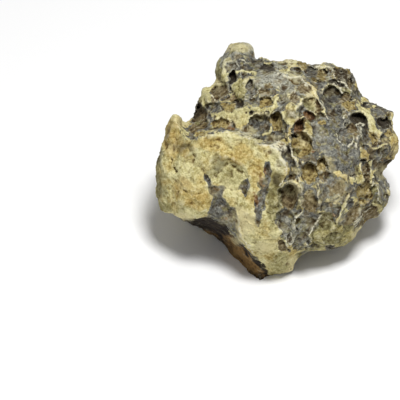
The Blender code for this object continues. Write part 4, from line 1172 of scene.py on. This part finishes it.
    def plate_field(self, at: Array, outline: Line) -> tuple[Array, Array]:
        """Finds the points on and near a plate of crust.

        Args:
            at: The points' u and v.
            outline: The plate's outline.

        Returns:
            The indices of the points near the plate, and how far inside each of them is.
        """
        low, high = np.min(outline, axis=0) - self.plate_margin, np.max(outline, axis=0) + self.plate_margin
        near = np.flatnonzero(((at.T > low) & (at.T < high)).all(axis=1))
        return near, signed_field(at[:, near], outline, self.plate_edge)

    def thin_out(self) -> None:
        """Brings the mesh down to its triangles, mostly on the sides that the show face hides."""
        seen = smooth_step(*self.thinned_turn, self.normals()[:, 2])
        group = self.thing.vertex_groups.new(name="hidden")
        weights = np.round(1.0 - self.thinning * seen, 1)
        for weight in np.unique(weights):
            group.add(np.flatnonzero(weights == weight).tolist(), float(weight), "REPLACE")
        share = self.triangles / (2 * len(self.thing.data.polygons))
        self.modify(
            "DECIMATE",
            decimate_type="COLLAPSE",
            ratio=min(share, 1.0),
            vertex_group=group.name,
            vertex_group_factor=self.favour,
        )

    def stand_out(self, points: Array, normals: Array, passes: int) -> Array:
        """How far each vertex stands out of its neighbourhood.

        Args:
            points: The mesh's vertices.
            normals: The direction that each faces.
            passes: How often places are averaged with their neighbours', which sets the reach.

        Returns:
            Millimetres, positive on ridges and negative in hollows.
        """
        mesh = self.thing.data
        ends = np.empty(len(mesh.edges) * 2, dtype=np.int32)
        mesh.edges.foreach_get("vertices", ends)
        a, b = ends.reshape(-1, 2).T
        count = np.bincount(ends, minlength=len(points)).astype(float)
        soft = points.copy()
        for _ in range(passes):
            total = np.empty_like(soft)
            for axis, values in enumerate(soft.T):
                total[:, axis] = np.bincount(a, values[b], len(soft)) + np.bincount(b, values[a], len(soft))
            soft = 0.5 * soft + 0.5 * total / count[:, None]
        return ((points - soft) * normals).sum(axis=1)

    def stand_up(self) -> None:
        """Turns the show face back by its tilt, in metres, and keeps the stone in its solid's box."""
        u, v, w = self.points().T
        x = FACE_ORIGIN[0] + u
        y = FACE_ORIGIN[1] + v * TILT_COS - w * TILT_SIN
        z = FACE_ORIGIN[2] + v * TILT_SIN + w * TILT_COS - self.worn_foot
        lowest, highest = (np.array(corner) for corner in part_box(NODE))
        inset = np.array([self.keep_off, self.keep_off, 0.0])
        places = np.stack([x, y, z], axis=1) * MM
        self.move_to(np.clip(places, lowest + inset, highest - inset))


@dataclass
class Ground:
    """The ground that is painted on the stone: how much of each tone every vertex has."""

    stone: Stone

    # over which span of the normal's w ground shows, and from where the front, slab and undercut do
    turn: Span = (0.0, 0.2)
    front_from: float = 0.1
    slab_from: float = -0.15
    undercut_from: float = -0.1

    # the crust's edges and its bare patches, with painted shade along the plates' edges and the patches
    # darkened
    slab_cover: float = 1.2
    slab_edge: float = 4.0
    plate_cover: float = 1.3
    patch_edge: float = 2.0
    patch_shade: float = 0.3
    edge_shade: float = 0.35
    edge_span: Span = (-1.0, -0.2)
    rib_pale: float = 0.2

    # the dishes
    dish_span: Span = (-0.1, 0.4)
    top_span: Span = (-0.2, 0.3)
    top_climb: Span = (-0.3, 0.8)
    bared: float = 2.2
    cleaned: float = 0.8
    full_depth: float = 8.0
    hollow_shade: float = 0.6

    # ridges and hollows, with painted shade in the broad hollows, large patches at the back, and what each
    # cell adds of its own
    fine_passes: int = 6
    broad_passes: int = 60
    ridge_height: float = 0.5
    high_crust: float = 0.2
    less_crust: float = 0.12
    hollow_painted_shade: float = 0.4
    hollow_span: Span = (0.6, 3.0)
    back_patches: float = 1.6
    patch_size: float = 22.0
    patch_shift: float = 41.0
    patchwork: float = 0.8
    own_ash: float = 0.4
    own_brown: float = 0.64
    most: float = 1.5

    # the undercut: painted shadow below the slab, and painted light at its heel and further out on its wall
    undercut_edge: float = 3.0
    lit_undercut_from: float = -0.3
    gloom_span: Span = (-0.3, 0.5)
    dark_rim: float = 10.0
    heel_span: Span = (-50.0, -24.0)
    heel_lit: Span = (0.2, 0.7)
    wall_lit: Span = (0.6, 1.0)
    wall_light: float = 0.5
    foot_span: Span = (-94.0, -76.0)

    def __post_init__(self) -> None:
        """Reads the stone's shape, and starts without any tone."""
        self.points, self.normals = self.stone.points(), self.stone.normals()
        self.at = self.stone.warped(self.points)
        self.facing = smooth_step(*self.turn, self.normals[:, 2])
        self.fields = {tone: np.zeros(len(self.points)) for tone in Tone if tone is not Tone.SLATE}

    def paint(self) -> None:
        """Works out the ground and stores it."""
        for spot in SPOTS:
            self.fields[spot.tone] += spot.field(self.at) * self.facing
        self.lay_crust()
        for dish in DISHES + NICKS:
            if dish.tone is not Tone.CRUST:
                self.open_dish(dish)
        self.weather_and_shade()
        self.darken_undercut()
        for tone, values in self.fields.items():
            self.stone.store(tone.value, np.clip(values, -self.most, self.most))

    def lay_crust(self) -> None:
        """Lays the crust: all over the slab but its bare patches, and in plates on the pitted mass, with
        painted shade just outside the plates' edges and the bare patches darkened.
        """
        cover, dark = self.fields[Tone.CRUST], self.fields[Tone.SHADE]
        front = self.normals[:, 2] > self.front_from
        for plate in PLATES:
            near, field = self.stone.plate_field(self.at, plate)
            near, field = near[front[near]], field[front[near]]
            raise_to(cover, self.plate_cover * field, near)
            raise_to(dark, self.edge_shade * smooth_step(*self.edge_span, field) * (field < 0), near)
        slab = signed_field(self.at, SLAB, self.slab_edge)
        raise_to(cover, self.slab_cover * np.where(self.normals[:, 2] > self.slab_from, slab, -1.0))
        for patch in PATCHES:
            bare = signed_field(self.at[:, front], patch, self.patch_edge)
            cover[front] = np.minimum(cover[front], -self.plate_cover * bare)
            raise_to(dark, self.patch_shade * bare, front)

    def open_dish(self, dish: Dish) -> None:
        """Bares the rock in a dish, gives it its own ground and paints shade below its top, and all through
        a dish of the shade tone.

        Args:
            dish: The dish.
        """
        near = dish.near(self.at)
        inside, along = dish.share(self.at[:, near])
        amount = smooth_step(*self.dish_span, inside) * self.facing[near]
        self.fields[Tone.CRUST][near] -= self.bared * amount
        for ground in GROUNDS:
            self.fields[ground][near] *= 1.0 - self.cleaned * amount
        if dish.tone in GROUNDS:
            raise_to(self.fields[dish.tone], amount, near)
        deep = min(dish.amount / self.full_depth, 1.0)
        if dish.tone is not Tone.SHADE:
            top = smooth_step(*self.top_span, inside) * smooth_step(*self.top_climb, along)
            amount = self.hollow_shade * top * self.facing[near]
        raise_to(self.fields[Tone.SHADE], deep * amount, near)

    def weather_and_shade(self) -> None:
        """Adds what comes with ridges, hollows, pale lines and each cell's own numbers, with painted shade
        in the broad hollows.
        """
        fields, stone = self.fields, self.stone
        broad = stone.stand_out(self.points, self.normals, self.broad_passes)
        patches = lumpy(self.points, self.patch_size, self.patch_shift)
        patches *= turned_away(self.normals, stone.back_turn)
        cover, warmth, depth = (stone.stored(name) for name in OWN_NAMES)
        fields[Tone.CRUST] += self.high_crust * np.clip(broad, -1.0, 1.0) - self.less_crust
        fields[Tone.CRUST] += self.back_patches * patches + self.patchwork * cover
        fields[Tone.WARM] += self.patchwork * warmth
        fields[Tone.ASH] += self.own_ash * depth
        fields[Tone.BROWN] += self.own_brown * np.clip(depth, 0.0, 1.0)
        raise_to(fields[Tone.SHADE], self.hollow_painted_shade * smooth_step(*self.hollow_span, -broad))
        raise_to(fields[Tone.PALE], self.rib_pale * tallest(RIBS, self.at) * self.facing)
        raise_to(fields[Tone.PALE], tallest(PALE_LINES, self.at) * self.facing)
        fine = stone.stand_out(self.points, self.normals, self.fine_passes)
        fields[Tone.RIDGE] = fine / self.ridge_height

    def darken_undercut(self) -> None:
        """Paints shadow into the undercut below the slab, and paints light on what reaches out of that
        shadow.
        """
        inside = signed_field(self.at, UNDERCUT, self.undercut_edge)
        inside = np.where(self.normals[:, 2] > self.undercut_from, inside, -1.0)
        self.fields[Tone.GLOOM] = smooth_step(*self.gloom_span, inside)
        u, v = self.at
        heel = smooth_step(*self.heel_span, u)
        below = -signed_field(self.at, SLAB, self.dark_rim)
        lit = smooth_step(*self.heel_lit, below * (1.0 + heel)) * heel
        raise_to(lit, self.wall_light * smooth_step(*self.wall_lit, below))
        lit *= smooth_step(*self.foot_span, v)
        # in the undercut the rust field holds where painted light lifts the painted shadow
        self.fields[Tone.RUST_AND_UNDERCUT_LIGHT] = np.where(inside > self.lit_undercut_from, lit, self.fields[Tone.RUST_AND_UNDERCUT_LIGHT])


Term = Union["Number", float]
Tint = Union["Colour", bpy.types.NodeSocket]


class Graph:
    """A material's node tree."""

    def __init__(self, name: str) -> None:
        """Makes an empty material of this name.

        Args:
            name: The material's name.
        """
        self.material = bpy.data.materials.new(name)
        self.material.use_nodes = True
        self.tree = self.material.node_tree
        self.tree.nodes.clear()

    def node(
        self, kind: str, settings: Optional[dict] = None, values: Optional[dict] = None
    ) -> bpy.types.Node:
        """Adds a node.

        Args:
            kind: The node's type.
            settings: Its own settings, which are set first.
            values: Its sockets' values or links, by name or place.

        Returns:
            The new node.
        """
        made = self.tree.nodes.new(kind)
        for name, value in (settings or {}).items():
            setattr(made, name, value)
        for name, value in (values or {}).items():
            self.feed(made.inputs[name], value)
        return made

    def feed(self, socket: bpy.types.NodeSocket, value: object) -> None:
        """Links a socket, or sets its value.

        Args:
            socket: The socket.
            value: A number or socket to link, or a colour or plain value to set.
        """
        if isinstance(value, Number):
            value = value.link
        if isinstance(value, bpy.types.NodeSocket):
            self.tree.links.new(value, socket)
        elif isinstance(value, Colour):
            socket.default_value = (*value.linear(), 1.0)
        else:
            socket.default_value = value

    def blend(self, factor: Term, below: Tint, above: Tint, how: str = "MIX") -> bpy.types.NodeSocket:
        """Lays one colour over another.

        Args:
            factor: How much of the upper colour shows.
            below: The lower colour.
            above: The upper colour.
            how: How they mix.

        Returns:
            The mixed colour.
        """
        settings = {"data_type": "RGBA", "blend_type": how, "clamp_factor": True}
        return self.node("ShaderNodeMix", settings, {0: factor, 6: below, 7: above}).outputs[2]

    def surface(self, values: dict) -> bpy.types.Material:
        """Ends the material in one shader.

        Args:
            values: The shader's sockets' values or links, by name.

        Returns:
            The finished material.
        """
        shader = self.node("ShaderNodeBsdfPrincipled", values=values)
        self.node("ShaderNodeOutputMaterial", values={"Surface": shader.outputs[0]})
        return self.material


def operator(kind: str, reflected: bool = False) -> Callable[["Number", Term], "Number"]:
    """Makes an operator of Number that adds one Math node.

    Args:
        kind: The node's operation.
        reflected: True where the number comes second.

    Returns:
        The operator's method.
    """

    def method(number: "Number", other: Term) -> "Number":
        """The result of the node."""
        return number.math(kind, other, number) if reflected else number.math(kind, number, other)

    return method


class Number:
    """A number in a shader, on which Python's operators add Math nodes."""

    def __init__(self, graph: Graph, link: bpy.types.NodeSocket) -> None:
        """Wraps a socket.

        Args:
            graph: The tree that the socket is in.
            link: The socket that gives the number.
        """
        self.graph = graph
        self.link = link

    def math(self, operation: str, *terms: Term) -> "Number":
        """Adds one Math node on these terms."""
        made = self.graph.node("ShaderNodeMath", {"operation": operation}, dict(enumerate(terms)))
        return Number(self.graph, made.outputs[0])

    __add__, __radd__ = operator("ADD"), operator("ADD", True)
    __sub__, __rsub__ = operator("SUBTRACT"), operator("SUBTRACT", True)
    __mul__, __rmul__ = operator("MULTIPLY"), operator("MULTIPLY", True)

    def scaled(self, gain: float) -> "Number":
        """The number times a gain, with no node for a gain of one."""
        return self if gain == 1.0 else self * gain

    def rise(self, low: float, high: float) -> "Number":
        """Rises smoothly from zero to one between two values, or falls where the first is greater.

        Args:
            low: Where the result is zero.
            high: Where it is one.

        Returns:
            The result.
        """
        made = self.graph.node(
            "ShaderNodeMapRange",
            {"interpolation_type": "SMOOTHSTEP"},
            {"Value": self, "From Min": low, "From Max": high, "To Min": 0.0, "To Max": 1.0},
        )
        return Number(self.graph, made.outputs["Result"])


@dataclass(frozen=True)
class Colour:
    """A colour as the eye sees it, each part from 0 to 1."""

    red: float
    green: float
    blue: float

    def linear(self) -> tuple[float, float, float]:
        """Works out the colour's light.

        Returns:
            The red, green and blue that the shader wants.
        """
        return tuple(
            part / 12.92 if part <= 0.04045 else ((part + 0.055) / 1.055) ** 2.4
            for part in (self.red, self.green, self.blue)
        )


@dataclass(frozen=True)
class Painted:
    """The painted amount of one tone, scaled."""

    tone: Tone
    gain: float = 1.0

    def number(self, graph: Graph) -> Number:
        """Reads it in a material."""
        read = graph.node("ShaderNodeAttribute", {"attribute_name": self.tone.value})
        return Number(graph, read.outputs["Fac"]).scaled(self.gain)


@dataclass(frozen=True)
class Grain:
    """Noise around zero with lumps of one size in millimetres, scaled."""

    size: float
    gain: float = 1.0
    shift: float = 0.0
    detail: float = 3.0
    roughness: float = 0.55

    def number(self, graph: Graph) -> Number:
        """Makes the noise in a material.

        Args:
            graph: The material's node tree.

        Returns:
            The noise.
        """
        place = graph.node("ShaderNodeTexCoord").outputs["Object"]
        offset = (self.shift, self.shift, self.shift)
        moved = graph.node("ShaderNodeVectorMath", {"operation": "ADD"}, {0: place, 1: offset}).outputs[0]
        scale = 1.0 / (self.size * MM)
        made = graph.node(
            "ShaderNodeTexNoise",
            {"noise_dimensions": "3D"},
            {"Vector": moved, "Scale": scale, "Detail": self.detail, "Roughness": self.roughness},
        )
        return (Number(graph, made.outputs["Fac"]) - 0.5).scaled(self.gain)


@dataclass(frozen=True)
class Mask:
    """Where something shows: its parts add up, and rise to its share over a span that may fall."""

    low: float
    high: float
    share: float
    parts: tuple[Union[Painted, Grain], ...]

    def number(self, graph: Graph) -> Number:
        """Makes it in a material."""
        total = reduce(add, (part.number(graph) for part in self.parts))
        return total.rise(self.low, self.high).scaled(self.share)


@dataclass(frozen=True)
class Coat(Mask):
    """A colour over those below it, where its mask shows."""

    colour: Colour
    how: str = "MIX"


def lay(graph: Graph, colour: Tint, coats: Sequence[Coat]) -> Tint:
    """Lays coats over a colour in a material.

    Args:
        graph: The material's node tree.
        colour: The ground colour.
        coats: The coats, from the lowest up.

    Returns:
        The colour with its coats.
    """
    for coat in coats:
        colour = graph.blend(coat.number(graph), colour, coat.colour, coat.how)
    return colour


@dataclass(frozen=True)
class StoneFinish:
    """Ochre and cream crust over purple-grey rock, with rust and dark brown in the hollows; the dark brown
    is partly painted shade.
    """

    slate: Colour = Colour(0.48, 0.48, 0.45)
    cream: Colour = Colour(0.825, 0.80, 0.60)
    brown: Colour = Colour(0.48, 0.415, 0.27)
    olive: Colour = Colour(0.57, 0.545, 0.35)
    rust: Colour = Colour(0.52, 0.37, 0.20)
    pale: Colour = Colour(0.84, 0.82, 0.72)
    # gloom is the undercut's painted shadow, and earth its brown where painted light reaches
    gloom: Colour = Colour(0.11, 0.07, 0.04)
    earth: Colour = Colour(0.50, 0.39, 0.225)
    # pale worn crust, also laid as painted light
    worn_crust_and_painted_light: Colour = Colour(0.87, 0.825, 0.63)
    roughness: float = 0.86
    uneven: Grain = Grain(4.0, 0.2, 5.1)
    specular: float = 0.2
    bump_strength: float = 0.9
    bump_height: float = 0.0012
    bumps: tuple[Grain, ...] = (Grain(1.6, 0.7, 0.0, 1.5), Grain(4.5, 1.0, 4.9, 1.5))

    # grain that breaks up the edges of the rock's stains, and the finest grain of rock and crust
    ragged: Grain = Grain(3.0, 1.2, 2.9)
    rock_grain: tuple[Grain, ...] = (Grain(2.4, 1.0, 1.9), Grain(1.2, 0.6, 0.4, 1.0))
    crust_grain: tuple[Grain, ...] = (
        Grain(2.6, 1.0, 6.9),
        Grain(7.0, 0.6, 3.6),
        Grain(1.2, 0.6, 8.1, 1.0),
    )

    # the bare rock, on slate
    rock: tuple[Coat, ...] = (
        Coat(-0.12, 0.14, 1.0, (Grain(9.0),), Colour(0.36, 0.36, 0.34)),
        Coat(0.1, 0.8, 0.85, (Painted(Tone.ASH), Grain(5.0, 1.0, 6.6)), Colour(0.66, 0.66, 0.60)),
        Coat(0.0, 0.15, 0.6, (Grain(7.0, 1.0, 3.1),), brown),
        Coat(0.0, 0.15, 0.6, (Grain(5.0, 1.0, 5.7),), olive),
        Coat(0.2, 0.7, 0.85, (Painted(Tone.BROWN), ragged), brown),
        Coat(0.2, 0.7, 0.85, (Painted(Tone.OCHRE), ragged), Colour(0.66, 0.585, 0.35)),
        Coat(0.2, 0.7, 0.8, (Painted(Tone.RUST_AND_UNDERCUT_LIGHT), ragged), rust),
        Coat(0.2, 0.7, 0.8, (Painted(Tone.OLIVE), ragged), olive),
        Coat(0.1, -0.25, 0.8, rock_grain, Colour(0.55, 0.52, 0.48), "MULTIPLY"),
        Coat(0.05, 0.3, 0.4, rock_grain, Colour(0.80, 0.79, 0.71)),
    )

    # the crust, on cream
    crust: tuple[Coat, ...] = (
        Coat(-0.45, 0.6, 1.0, (Painted(Tone.WARM), Grain(11.0, 2.2, 2.3)), Colour(0.765, 0.695, 0.45)),
        Coat(0.1, 0.6, 0.6, (Painted(Tone.WARM, 0.3), Grain(5.0, 1.6, 7.7)), Colour(0.70, 0.585, 0.33)),
        Coat(0.1, 0.9, 0.75, (Painted(Tone.OLIVE), Grain(7.0, 1.0, 4.4)), olive),
        Coat(0.2, 1.0, 0.7, (Painted(Tone.ASH),), Colour(0.75, 0.74, 0.64)),
        Coat(0.25, 0.9, 0.75, (Painted(Tone.RUST_AND_UNDERCUT_LIGHT), Grain(3.0, 0.9, 9.3)), rust),
        Coat(0.15, -0.3, 0.9, crust_grain, Colour(0.72, 0.68, 0.54), "MULTIPLY"),
        Coat(0.0, 0.3, 0.5, crust_grain, worn_crust_and_painted_light),
    )

    # over both: painted light and shade, pale lines that are partly painted highlight, and pale ridges,
    # partly wear and partly painted highlight, over hollows darkened as painted shade
    top: tuple[Coat, ...] = (
        Coat(0.0, 1.0, 0.7, (Painted(Tone.LIGHT),), worn_crust_and_painted_light),
        Coat(0.1, 1.0, 0.85, (Painted(Tone.SHADE), Grain(4.0, 0.4, 1.2)), Colour(0.17, 0.13, 0.07)),
        Coat(0.5, 0.9, 0.8, (Painted(Tone.PALE), Grain(2.5, 1.0, 3.9)), pale),
        Coat(0.3, 1.3, 0.3, (Painted(Tone.RIDGE),), pale),
        Coat(0.0, -1.2, 1.0, (Painted(Tone.RIDGE),), Colour(0.55, 0.48, 0.40), "MULTIPLY"),
    )

    # where the crust is, where the undercut's painted shadow lies, and where painted light lifts it
    crusted: Mask = Mask(
        0.0, 0.35, 1.0,
        (Painted(Tone.CRUST), Painted(Tone.RIDGE, 0.15), Grain(6.0, 0.8, 6.2), Grain(2.0, 0.5, 8.8)),
    )
    gloomy: Mask = Mask(0.1, 0.6, 0.97, (Painted(Tone.GLOOM),))
    lit: Mask = Mask(0.1, 1.0, 1.0, (Painted(Tone.RUST_AND_UNDERCUT_LIGHT), Grain(6.0, 1.5, 4.1)))

    def ground(self, graph: Graph) -> bpy.types.NodeSocket:
        """Mixes the whole stone's colour.

        Args:
            graph: The material's node tree.

        Returns:
            The colour.
        """
        rock, crust = lay(graph, self.slate, self.rock), lay(graph, self.cream, self.crust)
        colour = graph.blend(self.crusted.number(graph), rock, crust)
        under = graph.blend(self.lit.number(graph), self.gloom, self.earth)
        return lay(graph, graph.blend(self.gloomy.number(graph), colour, under), self.top)

    def dress(self, piece: bpy.types.Object) -> None:
        """Gives the stone its material.

        Args:
            piece: The stone's surface.
        """
        graph = Graph(SLOT)
        height = reduce(add, (bump.number(graph) for bump in self.bumps))
        values = {"Strength": self.bump_strength, "Distance": self.bump_height, "Height": height}
        bump = graph.node("ShaderNodeBump", values=values)
        values = {
            "Base Color": self.ground(graph),
            "Roughness": self.roughness + self.uneven.number(graph),
            "Specular IOR Level": self.specular,
            "Normal": bump.outputs["Normal"],
        }
        piece.data.materials.clear()
        piece.data.materials.append(graph.surface(values))


@dataclass
class Studio:
    """The pale floor, the soft light and the camera."""

    floor_side: float = 14.0
    floor_colour: Colour = Colour(0.96, 0.96, 0.96)
    floor_roughness: float = 0.9
    floor_specular: float = 0.1
    sky_strength: float = 0.32
    lamp_side: float = 0.35
    lamp_place: Point = (0.15, -0.30, 1.48)
    lamp_power: float = 21.5
    view_distance: float = 5.0
    view_width: float = 0.300
    view_middle: tuple[float, float] = (-57.0, -30.0)
    view_end: float = 50.0

    def lay_floor(self) -> None:
        """Makes the floor that the stone rests on."""
        mesh = bpy.data.meshes.new("floor")
        half = self.floor_side / 2
        corners = [(-half, -half, 0), (half, -half, 0), (half, half, 0), (-half, half, 0)]
        mesh.from_pydata(corners, [], [(0, 1, 2, 3)])
        floor = bpy.data.objects.new("floor", mesh)
        bpy.context.scene.collection.objects.link(floor)
        values = {
            "Base Color": self.floor_colour,
            "Roughness": self.floor_roughness,
            "Specular IOR Level": self.floor_specular,
        }
        mesh.materials.append(Graph("pale_floor").surface(values))

    def hang_lights(self) -> None:
        """Hangs one wide soft lamp above the front, in an evenly bright room."""
        lamp = bpy.data.lights.new("softbox", "AREA")
        lamp.shape = "SQUARE"
        lamp.size = self.lamp_side
        lamp.energy = self.lamp_power
        holder = bpy.data.objects.new("softbox", lamp)
        holder.location = self.lamp_place
        holder.rotation_euler = Vector(self.lamp_place).to_track_quat("Z", "Y").to_euler()
        bpy.context.scene.collection.objects.link(holder)
        world = bpy.data.worlds.new("room")
        world.use_nodes = True
        sky = world.node_tree.nodes["Background"]
        sky.inputs["Color"].default_value = (1.0, 1.0, 1.0, 1.0)
        sky.inputs["Strength"].default_value = self.sky_strength
        bpy.context.scene.world = world
        bpy.context.scene.view_settings.view_transform = "Standard"

    def set_camera(self) -> None:
        """Looks straight at the show face, from far off with a long lens."""
        right = Vector((1.0, 0.0, 0.0))
        up = Vector((0.0, TILT_COS, TILT_SIN))
        towards = Vector((0.0, -TILT_SIN, TILT_COS))
        middle_u, middle_v = self.view_middle
        middle = (Vector(FACE_ORIGIN) + right * middle_u + up * middle_v) * MM
        place = middle + towards * self.view_distance
        camera = bpy.data.cameras.new("camera")
        camera.lens = camera.sensor_width * self.view_distance / self.view_width
        camera.clip_end = self.view_end
        holder = bpy.data.objects.new("camera", camera)
        turned = Matrix((right, up, towards)).transposed()
        holder.matrix_world = Matrix.Translation(place) @ turned.to_4x4()
        bpy.context.scene.collection.objects.link(holder)
        bpy.context.scene.camera = holder

    def build(self) -> None:
        """Sets up the whole studio."""
        self.lay_floor()
        self.hang_lights()
        self.set_camera()


def main() -> None:
    """Builds the stone and its studio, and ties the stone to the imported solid."""
    logging.basicConfig(level=logging.INFO, format="%(name)s: %(message)s")
    Studio().build()
    LOG.info("studio set up")
    surface = Stone().build()
    StoneFinish().dress(surface)
    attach(surface, "root")
    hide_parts(NODE)
    LOG.info("stone surface: %d faces", len(surface.data.polygons))


if __name__ == "__main__":
    main()
